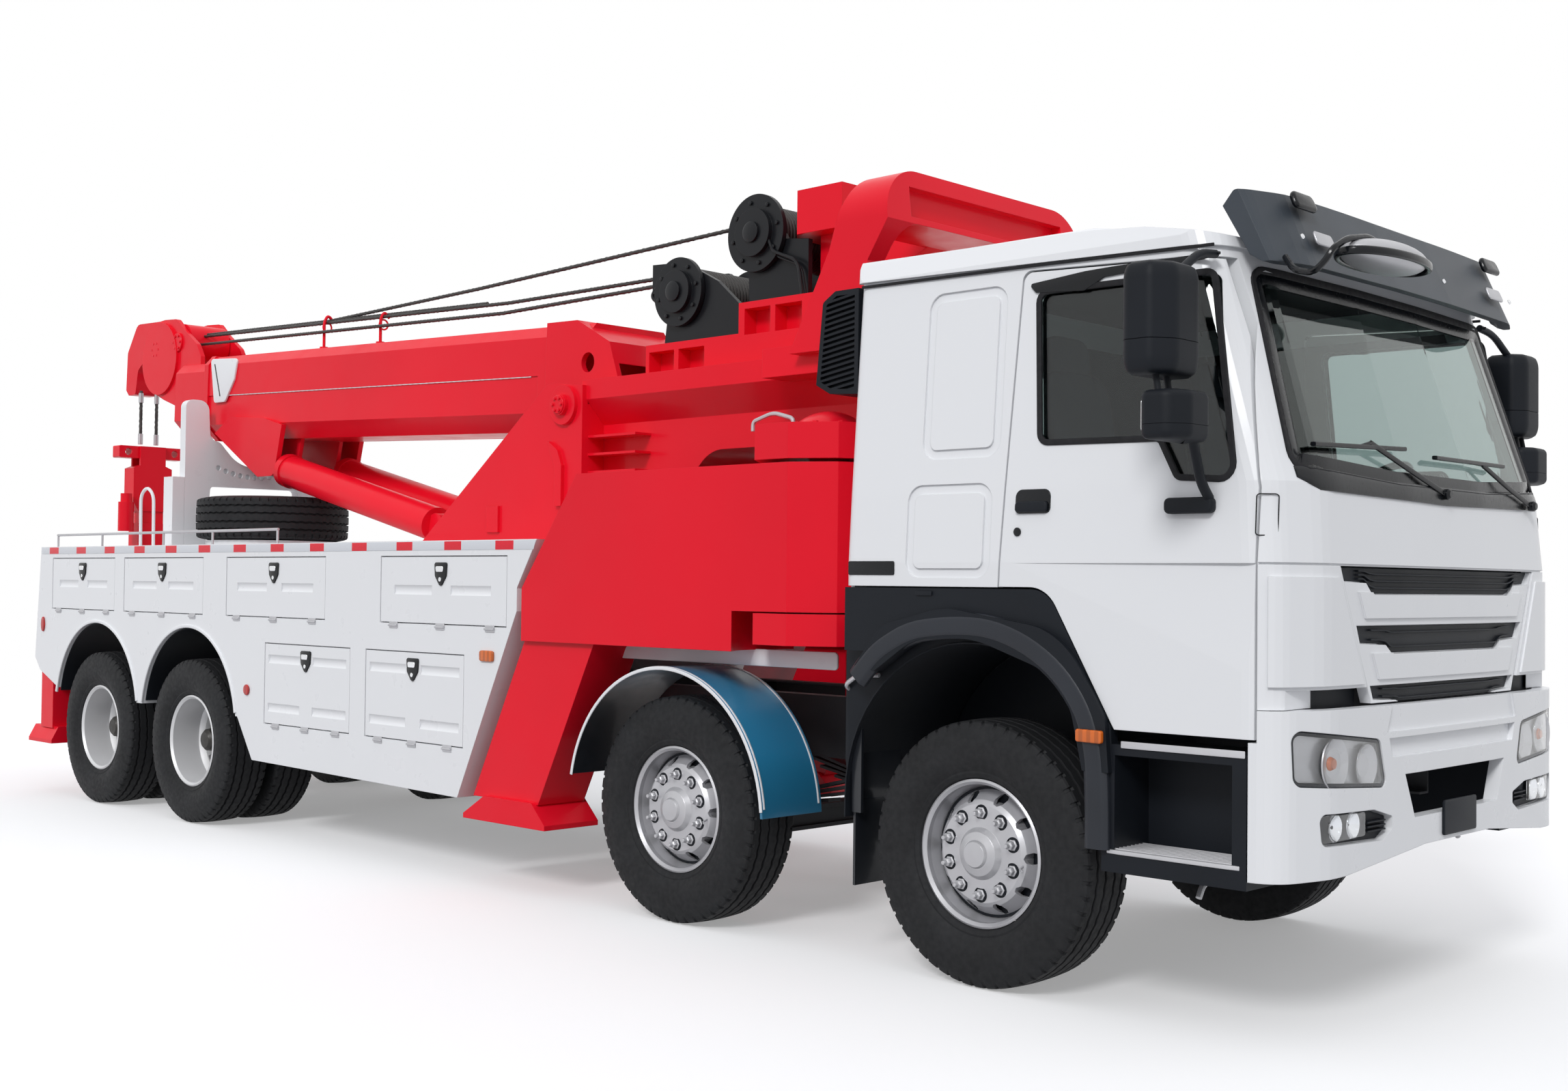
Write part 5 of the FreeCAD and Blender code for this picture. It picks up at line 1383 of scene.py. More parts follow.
# %% [markdown]
# ## Grille fields
# Three black fields narrow towards the bottom and have slanting ends. Each is a bar whose lower
# edge comes from four corners, with thin ridges in front, and all ride on the front flap.

# %% Grille fields
GRILLE = (  # distance from the middle and height: top corner, low corner, and two points further in
    ((0.875, 1.690), (0.858, 1.636), (0.690, 1.632), (0.642, 1.590)),
    ((0.762, 1.478), (0.735, 1.412), (0.540, 1.405), (0.490, 1.372)),
    ((0.660, 1.258), (0.636, 1.206), (0.462, 1.200), (0.430, 1.190)),
)
fields = []
for slot in GRILLE:
    half, top = slot[0]
    reach, heights = np.array(slot[::-1]).T
    run = np.linspace(-half + 0.004, half - 0.004, 41)
    low = np.interp(np.abs(run), reach, heights)
    field_low = np.minimum(low + 0.004, top - 0.006)
    fields.append(band(run, field_low, top - 0.003, on_front, -0.030, -0.026, 0.1))
    for share in np.linspace(0.25, 0.75, 3 if half > 0.8 else 2):
        z = (low + share * (top - low))[3:-3]
        fields.append(band(run[3:-3], z - 0.003, z + 0.003, on_front, -0.027, -0.012))
piece("grille_fields", join(fields), "plastic", "front_flap")
print("grille bars", len(fields))

# %% [markdown]
# ## The visor's fittings
# The visor slopes, so a placing function puts flat outlines on its face. It carries a dark marker
# lamp and a clear one at each end, and four bright screws.

# %% Visor fittings
VISOR_FACING = (0.924, 0, 0.382)
SCREW = [(0.001, 0), (0.011, 0), (0.009, 0.006), (0.001, 0.008)]


def on_visor(flat, depth):
    """(y, z) on the visor's sloping face, depth along the direction it faces."""
    y, z = flat[:, 0], flat[:, 1]
    face_x = np.interp(z, [2.765, 3.056], [1.325, 1.205])
    return np.stack([face_x + VISOR_FACING[0] * depth, y, z + VISOR_FACING[2] * depth], 1)


MARKER = [(-0.931, 2.985, 0.02), (-0.764, 2.985, 0.02), (-0.770, 3.050, 0.03), (-0.925, 3.050, 0.03)]
CLEAR = [(-0.854, 2.857, 0.015), (-0.709, 2.857, 0.015), (-0.712, 2.909, 0.015), (-0.850, 2.909, 0.015)]
pair("visor_marker_lamps", plate(rounded(MARKER), on_visor, 0.0, 0.024, 0.012), "gloss_black")
pair("visor_clear_lamps", plate(rounded(CLEAR), on_visor, 0.0, 0.010, 0.004), "silver")
screw_places = on_visor(np.array([(y, 2.874) for y in (-0.946, -0.34, 0.264, 0.946)]), 0)
piece("visor_screws", copies(knob(SCREW, axis=VISOR_FACING, steps=12), screw_places), "chrome")
print("visor screws", len(screw_places))

# %% [markdown]
# ## The front mirror
# A wide-angle mirror hangs from the visor on a bent tube, so that the driver sees the ground in
# front of the bumper. Its bowl is a flat ellipsoid, which one formula gives at any size.

# %% Front mirror


def ellipsoid(centre, half, rows=18, cols=36, power=2.0):
    """|x/a|^p + |y/b|^p + |z/c|^p = 1 drawn from its two angles; power 2 is a plain ellipsoid."""
    u = np.linspace(-np.pi / 2 + 0.04, np.pi / 2 - 0.04, rows)
    v = np.linspace(0, 2 * np.pi, cols, endpoint=False)

    def bend(c):
        return np.sign(c) * np.abs(c) ** (2 / power)

    x = bend(np.cos(u))[:, None] * bend(np.cos(v))[None]
    y = bend(np.cos(u))[:, None] * bend(np.sin(v))[None]
    z = np.broadcast_to(bend(np.sin(u))[:, None], x.shape)
    return loft(np.stack([x, y, z], -1) * half + centre)


FRONT_MIRROR = np.array([1.50, -0.76, 2.796])
mirror_bowl = ellipsoid(FRONT_MIRROR, (0.110, 0.27, 0.056))
v = np.linspace(0, 2 * np.pi, 49)[:-1]
rim_path = FRONT_MIRROR + np.stack([0.112 * np.cos(v), 0.285 * np.sin(v), 0 * v - 0.014], 1)
mirror_rim = strip(rim_path, cross_section(0.022, 0.030, 0.45), (0, 0, 1), closed=True)
MIRROR_ARM = [
    (1.26, -1.03, 2.79), (1.33, -1.10, 2.726), (1.42, -1.136, 2.701), (1.47, -1.146, 2.736),
    (1.49, -1.133, 2.777), (1.50, -1.044, 2.824), (1.50, -0.90, 2.851), (1.50, -0.84, 2.846),
]
mirror_arm = tube(smooth_path(MIRROR_ARM, 0.04, 5), 0.012, 10)
piece("front_mirror_bowl", mirror_bowl, "silver")
piece("front_mirror_rim", join([mirror_rim, mirror_arm]), "gloss_black")
print("front mirror at", FRONT_MIRROR)

# %% [markdown]
# ## Side mirrors
# Each door carries a large mirror and a small one on bent tubes. A housing is its outline from
# above, drawn in at both ends by a quarter ellipse and stacked from bottom to top.

# %% Mirror housings
LARGE = rounded([
    (0.986, -1.640, 0.04), (1.004, -1.684, 0.04), (1.110, -1.684, 0.04), (1.168, -1.600, 0.06),
    (1.168, -1.460, 0.06), (1.120, -1.400, 0.04), (0.986, -1.400, 0.03),
])
SMALL = rounded([
    (1.055, -1.662, 0.03), (1.165, -1.662, 0.05), (1.212, -1.580, 0.05), (1.212, -1.470, 0.04),
    (1.165, -1.400, 0.03), (1.055, -1.400, 0.02),
])
END_SHARE, END_DRAW = 0.16, 0.028  # share of the height that narrows, and by how much


def housing(outline, low, high):
    """Mirror housing: the outline drawn in towards both ends by a quarter ellipse, with a waist line."""
    ends, waist = np.linspace(0, END_SHARE, 7), [0.30, 0.302, 0.306, 0.308]
    z = np.concatenate([ends, waist, np.linspace(1 - END_SHARE, 1, 7)])
    end = np.minimum(np.minimum(z, 1 - z) / END_SHARE, 1)
    draw = END_DRAW * (1 - np.sqrt(np.clip(1 - (1 - end) ** 2, 0, 1)))
    draw[8:10] += 0.003
    on_level = plane(2, 0)
    return loft(np.stack([on_level(shrunk(outline, d), low + s * (high - low)) for d, s in zip(draw, z)]))


foot = plate(rectangle(0.915, 1.110, 1.872, 1.930, 0.02), plane(1, -1.235, -1), 0, 0.040, 0.010)
arms = [
    pipe([(1.09, -1.255, 1.925), (1.10, -1.33, 1.98), (1.13, -1.44, 2.13)], 0.05, 0.018),
    bar((1.10, -1.60, 2.25), (1.08, -1.60, 2.35), 0.012),
    bar((1.10, -1.53, 2.25), (1.08, -1.53, 2.35), 0.012),
    pipe([(1.06, -1.17, 2.806), (1.07, -1.30, 2.79), (1.085, -1.47, 2.69)], 0.06, 0.016),
]
housings = [housing(LARGE, 2.330, 2.712), housing(SMALL, 2.106, 2.276)]
mirrors = pair("mirror_housing", join([foot, *arms, *housings]), "plastic", "door", soft=40)
for made, (word, _) in zip(mirrors, SIDES):
    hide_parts(f"mirror_{word}")
print("mirror housings a side", len(housings))

# %% [markdown]
# ## Mirror glass
# The panes face back to the driver. They are thin plates on the flat rear side of each housing,
# with a finish that is almost a perfect mirror.

# %% Mirror glass
panes = []
for x, low, high in ((0.986, 2.362, 2.680), (1.055, 2.130, 2.252)):
    panes.append(plate(rectangle(-1.64, -1.43, low, high, 0.02), plane(0, x, -1), 0.0, 0.003, 0.001))
pair("mirror_panes", join(panes), "mirror", "door")
print("panes a side", len(panes))

# %% [markdown]
# ## Tape and locker latches
# Along the deck's edge runs a tape of red and white reflectors, and every locker door has a
# shield-shaped latch with a bright lever and a key. They are drawn once and copied to a table of
# places.

# %% Tape and latches
tape = rounded([(-8.705, 1.768), (-2.765, 1.768), (-2.745, 1.815), (-8.712, 1.815)])
pair("reflective_tape", plate(tape, on_body_side, 0.0005, 0.0020, 0.0005), "tape")
DOORS = np.array([
    (-8.510, -7.500, 1.370, 1.732), (-7.345, -6.226, 1.370, 1.732), (-5.912, -4.745, 1.370, 1.732),
    (-4.152, -2.990, 1.370, 1.732), (-5.418, -4.466, 0.720, 1.205), (-4.294, -3.355, 0.720, 1.205),
])  # rear, front, bottom, top
SHIELD = [
    (-0.058, 0, 0.014), (0.058, 0, 0.014), (0.052, -0.075, 0.02), (0, -0.138, 0.02), (-0.052, -0.075, 0.02),
]
LEVER = [(-0.036, -0.020, 0.01), (0.036, -0.020, 0.01), (0.030, -0.052, 0.01), (-0.030, -0.052, 0.01)]
KEY = [(0.001, 0), (0.012, 0), (0.012, 0.004), (0.001, 0.006)]
latch_places = np.stack([DOORS[:, :2].mean(1), np.zeros(len(DOORS)), DOORS[:, 3] - 0.030], 1)
latch = plate(rounded(SHIELD), on_body_side, -0.004, 0.007, 0.004)
pair("door_latches", copies(latch, latch_places), "gloss_black")
lever = plate(rounded(LEVER), on_body_side, 0.006, 0.016, 0.005)
key = knob(KEY, (0, -1.256, -0.092), steps=16)
pair("door_latch_levers", copies(join([lever, key]), latch_places), "chrome")
print("latches a side", len(latch_places))

# %% [markdown]
# ## Locker hinges
# Three hinges under each door let it fall open. A hinge is a leaf with a barrel across it, and its
# places come from the doors' own widths, so they stay even if a door changes.

# %% Hinges
leaf = plate(rectangle(-0.040, 0.040, -0.016, 0.020, 0.005), on_body_side, 0, 0.005, 0.002)
barrel = bar((-0.040, -1.256, 0), (0.040, -1.256, 0), 0.007, 10)
rear, front, low, _ = DOORS.T
reach = np.where(low > 1, 0.77, 0.71)[:, None] * np.array([-1, 0, 1])
hinge_x = ((rear + front) / 2)[:, None] + reach * ((front - rear) / 2)[:, None]
hinge_places = np.stack([hinge_x, 0 * hinge_x, 0 * hinge_x + low[:, None] - 0.018], -1)
pair("door_hinges", copies(join([leaf, barrel]), hinge_places), "silver")
print("hinges a side", hinge_x.size)

# %% [markdown]
# ## Side reflectors and markers
# The law asks for red reflectors at the rear and an orange marker towards the front. A rounded
# square and an ellipse are the same formula with another power.

# %% Side reflectors


def oval(centre, half_x, half_z, power=2.0, count=28):
    """Outline |x/a|^p + |z/b|^p = 1 round a centre: an ellipse for power 2, a soft box above it."""
    a = np.linspace(0, 2 * np.pi, count, endpoint=False)
    c, s = (np.sign(v) * np.abs(v) ** (2 / power) for v in (np.cos(a), np.sin(a)))
    return np.array(centre) + np.stack([half_x * c, half_z * s], 1)


outlines = [oval((-8.655, 1.247), 0.030, 0.055), oval((-5.63, 0.910), 0.034, 0.034)]
pair("side_reflectors", join(plate(o, on_body_side, 0, 0.012, 0.006) for o in outlines), "red_lens")
marker = oval((-3.142, 1.212), 0.060, 0.029, 6)
pair("side_marker", plate(marker, on_body_side, 0, 0.014, 0.006), "amber")
print("reflectors a side", len(outlines))

# %% [markdown]
# ## Deck rail
# A thin rail on short posts keeps loose gear on the deck. It is one long bar on five short ones.

# %% Deck rail
RAIL_TOP, DECK_TOP, POSTS = 1.908, 1.815, (-8.545, -7.81, -6.88, -6.20, -5.382)
rail = [bar((-8.553, -1.2, RAIL_TOP), (-5.374, -1.2, RAIL_TOP), 0.009, 8)]
rail += [bar((x, -1.2, DECK_TOP), (x, -1.2, RAIL_TOP), 0.008, 8) for x in POSTS]
pair("deck_rail", join(rail), "silver")
print("rail posts a side", len(POSTS))

# %% [markdown]
# ## Tail lamps
# A black board on the rear face holds an orange lamp between two red ones. Each lens is a soft box
# that stands a little proud of the board.

# %% Tail lamps
rear_face = plane(0, -8.783, -1)
board = rectangle(-1.18, -0.70, 1.06, 1.20, 0.02)
pair("tail_lamp_board", plate(board, rear_face, -0.004, 0.016, 0.004), "plastic")
boxes = [oval((y, 1.13), 0.062, 0.050, 5) for y in (-1.10, -0.78, -0.94)]
lenses = [plate(box, rear_face, 0.014, 0.030, 0.008) for box in boxes]
pair("tail_lamps_red", join(lenses[:2]), "red_lens")
pair("tail_lamps_amber", lenses[2], "amber")
print("tail lamps a side", len(lenses))

# %% [markdown]
# ## The second axle's mudguard
# Its blue skin has raised white lines along the rims, and a white panel above closes the gap
# between the guard and the turret's base.

# %% Mudguard lines and panel
guard_lines = []
for y in (-1.222, -0.868):
    path = arc((-1.8, HUB_Z), 0.676, 6, 169, y, 44)
    guard_lines.append(strip(path, cross_section(0.010, 0.004), path - path.mean(0)))
rim = arc((-1.8, HUB_Z), 0.668, 5, 170, -1.236, 44)
guard_lines.append(strip(rim, cross_section(0.016, 0.006), (0, -1, 0)))
pair("mudguard_lines", join(guard_lines), "white")
panel = rounded([(-2.42, 1.225, 0.02), (-0.90, 1.225, 0.02), (-0.90, 1.305, 0.02), (-2.30, 1.300, 0.02)])
pair("panel_above_guard", plate(panel, plane(1, -0.99, -1), 0, 0.012, 0.004), "white")
print("lines on each guard", len(guard_lines))

# %% [markdown]
# ## Rope on the drums
# Each drum is wound with one layer of wire rope, which from outside is a row of round ridges, so a
# turned profile of half circles is enough.

# %% Rope on the drums
DRUMS = ((-2.160, 3.450, 0.205), (-2.760, 3.205, 0.190))  # station, height, radius
WIND, WOUND_LENGTH = 0.024, 0.50
windings = []
for x, z, r in DRUMS:
    core = 0.7 * r
    turns = int(WOUND_LENGTH / WIND)
    a = np.linspace(0, np.pi, 6)[:-1]
    ridge = WIND / 2 * (1 - np.cos(a))
    along = (np.arange(turns)[:, None] * WIND - WOUND_LENGTH / 2 + ridge).ravel()
    high = np.tile(core + WIND / 2 * np.sin(a), turns)
    profile = [(core - 0.01, along[0]), *zip(high, along), (core - 0.01, along[-1] + 0.002)]
    windings.append(turned(profile, (x, 0, z), (0, 1, 0), 40))
piece("drum_rope", join(windings), "rope")
print("turns on a drum", turns)

# %% [markdown]
# ## Winch bolts
# Eight bolts ring the bearing cap at each end of a drum. They show best against the sky, so they
# are worth drawing although they are small.

# %% Winch bolts
WINCH_BOLT = [(0.001, 0), (0.012, 0), (0.012, 0.010), (0.001, 0.012)]
BEARING_CAP = [(0.001, 0), (0.055, 0), (0.055, 0.014), (0.040, 0.020), (0.001, 0.020)]
bolts = []
for x, z, r in DRUMS:
    bolts.append(copies(knob(WINCH_BOLT), around((x, -0.290, z), 0.8 * r, 8, 0.2)))
    bolts.append(knob(BEARING_CAP, (x, -0.317, z), steps=28))
pair("winch_bolts", join(bolts), "black")
print("bolted ends", 2 * len(DRUMS))

# %% [markdown]
# ## Ropes over the boom
# Three taut ropes run from the drums over the boom to its head. The part that follows the inner boom lies
# inside the part that stays, so that the boom can slide out. The part from the winches over the outer boom is
# left without a body, fixed where it is drawn.

# %% Ropes over the boom
RISE = math.tan(math.radians(2.2))  # the stowed boom climbs that much a metre towards the rear
ROUTES = {
    "upper_rope": [(-2.20, 0.05, 3.60), (-2.634, 0.045, 3.59), (-5.006, 0, 3.508), (-6.768, -0.02, 3.47)],
    "lower_rope": [(-2.80, -0.05, 3.352), (-3.02, -0.05, 3.358), (-3.398, -0.05, 3.36), (-4.6, -0.05, 3.368)],
    "second_rope": [(-2.82, -0.1, 3.342), (-3.02, -0.1, 3.306), (-3.397, -0.1, 3.302), (-4.6, -0.1, 3.296)],
}
OUTER_END, HEAD_X, STROKE = -8.02, -8.62, 3.0


def laid_rope(corners, radius=0.011, pitch=0.11, step=0.022):
    """Wire rope with three strands laid round each other: r = r0 (1 + 0.16 cos(3 (a - 2 pi s/pitch)))
    at the distance s along the rope."""
    corners = np.asarray(corners, float)
    length = np.cumsum(np.r_[0, np.linalg.norm(np.diff(corners, axis=0), axis=1)])
    s = np.linspace(0, length[-1], int(length[-1] / step) + 2)
    path = np.stack([np.interp(s, length, corners[:, k]) for k in range(3)], 1)
    a = np.linspace(0, 2 * np.pi, 9, endpoint=False)
    lay = np.cos(3 * (a[None] - 2 * np.pi * s[:, None] / pitch))
    return tube(path, radius * (1 + 0.16 * lay), 9)


for name, route in ROUTES.items():
    x, y, z = route[-1]
    made = piece(name, laid_rope(route + [(OUTER_END, y, z + RISE * (x - OUTER_END))], 0.0115), "rope")
    made.parent = None
    tuple(at([-2.75, 0, 3.4]))
    tuple(at([-4.4, 0, 3.4]))
    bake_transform(made)
    start = OUTER_END + STROKE + 0.15
    inner = [(s, y, z + RISE * (x - s)) for s in (start, HEAD_X)]
    piece(name + "_inner", laid_rope(inner, 0.0105), "rope", "boom_inner")
print("ropes", len(ROUTES))

# %% [markdown]
# ## Hanging ropes
# Two short falls hang from the head, each with a bright pressed sleeve at its ends. They stay with
# the head when the boom moves.

# %% Hanging ropes
FALL_X, FALLS, FALL_TOP, FALL_LOW = -9.63, (-0.067, 0.069), 3.16, 2.715
hangers = [laid_rope([(FALL_X, y, FALL_TOP), (FALL_X, y, FALL_LOW)], 0.013) for y in FALLS]
piece("hanging_ropes", join(hangers), "rope", "boom_inner")
sleeve_ends = ((2.712, 2.80), (3.06, 3.14))
sleeves = [bar((FALL_X, y, low), (FALL_X, y, high), 0.020, 10) for y in FALLS for low, high in sleeve_ends]
piece("rope_sleeves", join(sleeves), "silver", "boom_inner")
print("hanging ropes are", round(FALL_TOP - FALL_LOW, 3), "long")

# %% [markdown]
# ## Rope guides
# Two posts with an eye keep the upper rope off the boom. A post is a short foot, a bent rod and a
# closed ring.

# %% Rope guides
posts = []
for x, top in ((-6.76, 3.478), (-6.03, 3.428)):
    low = 3.1054 + RISE * (-3.4 - x) - 0.01  # just inside the boom's top plate
    posts.append(bar((x, -0.075, low), (x, -0.075, low + 0.05), 0.030))
    rod = [(x, -0.075, low), (x, -0.075, top - 0.02), (x, -0.045, top + 0.03), (x, -0.005, top - 0.01)]
    posts.append(pipe(rod, 0.03, 0.011, 8))
    v = np.linspace(0, 2 * np.pi, 20, endpoint=False)
    eye = np.stack([0 * v + x, -0.05 + 0.034 * np.cos(v), top - 0.06 + 0.034 * np.sin(v)], 1)
    posts.append(strip(eye, cross_section(0.012, 0.012, 0.45), (1, 0, 0), closed=True))
piece("rope_guides", join(posts), "red", "boom_outer")
print("rope guides", len(posts) // 3)

# %% [markdown]
# ## Wear pads
# A white wear pad shows on each side near the boom's mouth, where the inner section slides, with a
# dark slot that shows how far it has worn.

# %% Wear pads
boom_side = plane(1, -0.322, -1)
PAD = [
    (-7.931, 3.259, 0.03), (-7.873, 2.921, 0.03), (-7.710, 2.920, 0.03), (-7.575, 3.077, 0.04),
    (-7.529, 3.232, 0.03),
]
PAD_SLOT = [(-7.872, 3.215, 0.004), (-7.858, 3.215, 0.004), (-7.770, 2.965, 0.004), (-7.784, 2.965, 0.004)]
pad = plate(rounded(PAD), boom_side, -0.004, 0.014, 0.005)
piece("boom_wear_pads", both(pad), "white", "boom_outer")
pad_slot = plate(rounded(PAD_SLOT), boom_side, 0.012, 0.016, 0.001)
piece("boom_pad_slots", both(pad_slot), "gloss_black", "boom_outer")
print("wear pads done")

# %% [markdown]
# ## The weld along the boom
# The boom's side plates meet in a long weld. It is a thin tube whose radius ripples, like the beads that a
# welder leaves, and it is white: a painted highlight for the light line along the seam.

# %% Weld
BEADS = 160
weld_front, weld_rear = np.array([-4.02, -0.3165, 2.829]), np.array([-7.70, -0.3165, 2.970])
s = np.linspace(0, 1, BEADS)[:, None]
ripple = 0.004 * (1 + 0.25 * np.cos(np.arange(BEADS) * 2.4))
weld = tube(weld_front + (weld_rear - weld_front) * s, ripple, 6)
# painted highlight: the weld is white, not red, to stand in for the light that the seam catches
piece("boom_seam_painted_highlight", both(weld), "white", "boom_outer")
print("weld is", round(float(np.linalg.norm(weld_rear - weld_front)), 2), "long")

# %% [markdown]
# ## Pin covers
# Bolted round covers close the boom's pivot and the sheaves' pins. They are turned discs with a
# ring of hexagon heads.

# %% Pin covers


def capped(centre, radius, depth, count=6, size=0.010):
    """Round bolted cover on the right side: a turned disc with a ring of hexagon heads."""
    edge = [(radius, -0.004), (radius, depth * 0.7), (radius - depth * 0.3, depth)]
    disc = knob([(0.001, -0.004), *edge, (0.001, depth)], centre, steps=36)
    ring = around(np.array(centre) - (0, depth, 0), 0.72 * radius, count)
    return join([disc, copies(hexagon(size, size * 0.8, size), ring)])


pair("pivot_covers", capped((-3.40, -0.600, 2.60), 0.052, 0.010), "red")
head_covers = [capped((x, -0.204, z), 0.075, 0.012) for x, z in ((-9.08, 3.44), (-8.72, 3.47))]
piece("head_pin_covers", both(join(head_covers)), "red", "boom_inner")
print("covers on the head a side", len(head_covers))

# %% [markdown]
# ## The outriggers' collars
# A ring of bolts closes the upper collar of each outrigger's post, and a bright loop on top is a
# handhold and a lifting eye.

# %% Collars
a = np.arange(8) * np.pi / 4 + 0.3
ring = np.stack([-0.98 + 0.15 * np.cos(a), -0.98 + 0.15 * np.sin(a), 0 * a + 2.314], 1)
pair("collar_bolts", copies(hexagon(0.016, 0.012, 0.014, (0, 0, 1)), ring), "red")
LOOP = [(-1.446, 2.315), (-1.446, 2.36), (-1.315, 2.395), (-1.187, 2.36), (-1.187, 2.315)]
pair("collar_loop", pipe([(x, -1.0, z) for x, z in LOOP], 0.04, 0.010, 8), "silver")
print("collar bolts a side", len(ring))

# %% [markdown]
# ## Oil pipes
# Thin steel pipes carry oil from the valve block to the winches and down into the turret. They are
# routed clear of the boom's tail, which comes forward when the boom rises.

# %% Oil pipes
pipes = []
for k, y in enumerate((-0.30, -0.275, 0.275, 0.30)):
    z = 3.405 - 0.02 * (k % 2)
    way = [(-2.05, y, 3.395), (-2.02, y, z - 0.07), (-1.84, y, z - 0.14), (-1.80, y, 3.06)]
    pipes.append(pipe(way, 0.05, 0.009, 8))
for k, y in enumerate((-0.215, -0.180, -0.150, 0.16, 0.20)):
    x = -3.03 - 0.02 * (k % 3)
    way = [(0.02, 3.27), (-0.03, 3.22), (0.10, 3.12), (0.22, 2.95), (0.24, 2.70)]
    pipes.append(pipe([(x + ahead, y, z) for ahead, z in way], 0.08, 0.011, 8))
piece("oil_pipes", join(pipes), "black")
print("pipes", len(pipes))

# %% [markdown]
# ## Deck hoop and mast cylinders
# A white hoop at the deck's rear edge guards the mast, and two small cylinders stand beside it.
# The cylinders ride on the underlift's slider, which carries them down with the mast.

# %% Hoop and cylinders
GUARD_HOOP = [(-8.307, 1.815), (-8.315, 2.225), (-8.213, 2.285), (-8.107, 2.219), (-8.099, 1.815)]
pair("deck_hoop", pipe([(x, -0.68, z) for x, z in GUARD_HOOP], 0.07, 0.012, 10), "white")
cylinder = join([
    bar((-9.50, -0.240, 1.98), (-9.50, -0.240, 2.22), 0.062, 24),
    bar((-9.50, -0.240, 2.215), (-9.50, -0.240, 2.29), 0.045, 20),
])
piece("mast_cylinders", both(cylinder), "red", "underlift_slider")
print("hoop and cylinders done")

# %% [markdown]
# ## Cushions
# Through the glass one sees two sprung seats and a bunk. A seat cushion is a superellipsoid, a box
# whose sides all swell a little: |x/a|^p + |y/b|^p + |z/c|^p = 1. Sewn channels are shallow grooves
# pressed along it. A formula gives the same cushion on every run, which is why it is used here in
# place of a cloth simulation.

# %% Cushion


def cushion(centre, half, lean=0.0, power=4.5, channels=(), depth=0.010):
    """Superellipsoid cushion, leaned back about Y. Each channel is a line across the cushion at a
    share of its half width, pressed in by depth * exp(-(distance / 12 mm)^2)."""
    points, loops, sizes, uv = ellipsoid((0, 0, 0), half, 40, 72, power)
    points = points.copy()
    for share in channels:
        groove = depth * np.exp(-(((points[:, 1] - share * half[1]) / 0.012) ** 2))
        points *= 1 - groove[:, None] / np.maximum(np.linalg.norm(points, axis=1, keepdims=True), 0.05)
    c, s = math.cos(lean), math.sin(lean)
    turn = np.array([[c, 0, -s], [0, 1, 0], [s, 0, c]])
    return points @ turn.T + centre, loops, sizes, uv


print("a cushion has", len(cushion((0, 0, 0), (0.2, 0.2, 0.1))[2]), "faces")

# %% [markdown]
# ## Seats and bunk
# Each seat has a cushion, a back that leans and a head rest; the bunk's mattress is sewn in five places. All
# of them are padded, so they are shaded smooth where their faces meet at less than 60 degrees.

# %% Seats and bunk
for word, side in SIDES:
    y = side * 0.60
    parts = (
        ("seat_cushion", cushion((0.40, y, 1.845), (0.245, 0.245, 0.075), -0.04, channels=(-0.5, 0.5))),
        ("seat_back", cushion((0.085, y, 2.18), (0.070, 0.235, 0.33), 0.14, channels=(-0.5, 0.5))),
        ("head_rest", cushion((0.02, y, 2.575), (0.045, 0.14, 0.085), 0.14)),
    )
    for name, part in parts:
        piece(f"{name}_{word}", part, "fabric", soft=60)
BUNK_SEAMS = (-0.66, -0.33, 0, 0.33, 0.66)
mattress = cushion((-0.38, 0, 1.80), (0.205, 1.09, 0.085), 0, 7, BUNK_SEAMS, 0.008)
piece("bunk_mattress", mattress, "fabric", soft=60)
print("padded pieces", 2 * len(parts) + 1)

# %% [markdown]
# ## Steering wheel
# The wheel is a thin ring with three spokes on a leaning column. A small circle turned about the
# column's axis gives the rim.

# %% Steering wheel
WHEEL_AXIS = np.array([-0.64, 0, 0.77])
WHEEL_CENTRE = np.array([0.795, 0.60, 2.015])
HUB = [(0.001, -0.06), (0.07, -0.06), (0.075, -0.02), (0.05, 0.005), (0.001, 0.008)]
a = np.linspace(0, 2 * np.pi, 13)[:-1]
rim = turned([(0.215 + 0.017 * math.cos(t), 0.017 * math.sin(t)) for t in a], WHEEL_CENTRE, WHEEL_AXIS, 48)
spoke_ways = np.array([(0, 1.0, 0), (0, -1.0, 0), (-0.77, 0, -0.64)])
spokes = [bar(WHEEL_CENTRE - WHEEL_AXIS * 0.03, WHEEL_CENTRE + 0.21 * d, 0.014, 8) for d in spoke_ways]
hub = knob(HUB, WHEEL_CENTRE, WHEEL_AXIS, 28)
column = bar((1.05, 0.60, 1.715), WHEEL_CENTRE - WHEEL_AXIS * 0.05, 0.036, 14)
piece("steering_wheel", join([rim, hub, column, *spokes]), "gloss_black")
print("spokes", len(spokes))

# %% [markdown]
# ## Dash
# The dash is one cross-section carried from door to door. It ends where the cab's front falls back
# at the corners, and it swells into a hump in front of the driver.

# %% Dash
DASH_REAR = 1.005
run = np.linspace(-1.12, 1.12, 33)
front_limit = np.minimum(1.33, 1.34 - drop(HALF_WIDTH - np.abs(run) - 0.06))
side_view = rounded([(0, 1.52), (0, 1.83, 0.05), (0.45, 1.925, 0.06), (1, 1.925), (1, 1.52)], 4)
hump = 0.035 * np.exp(-(((run - 0.60) / 0.22) ** 4))
share, height = side_view.T
on_top = (height > 1.86) * (share < 0.9)
dash = np.stack([
    DASH_REAR + share * (front_limit[:, None] - DASH_REAR),
    np.broadcast_to(run[:, None], (len(run), len(share))),
    height + hump[:, None] * on_top,
], -1)
print("dash from", DASH_REAR, "to", round(float(front_limit.max()), 3))

# %% [markdown]
# ## Bases of the seats and the bunk
# The seats stand on boxes and have hard shells behind their backs, and the bunk is a long box.
# With the dash they make one piece, which stands in for the plain interior.

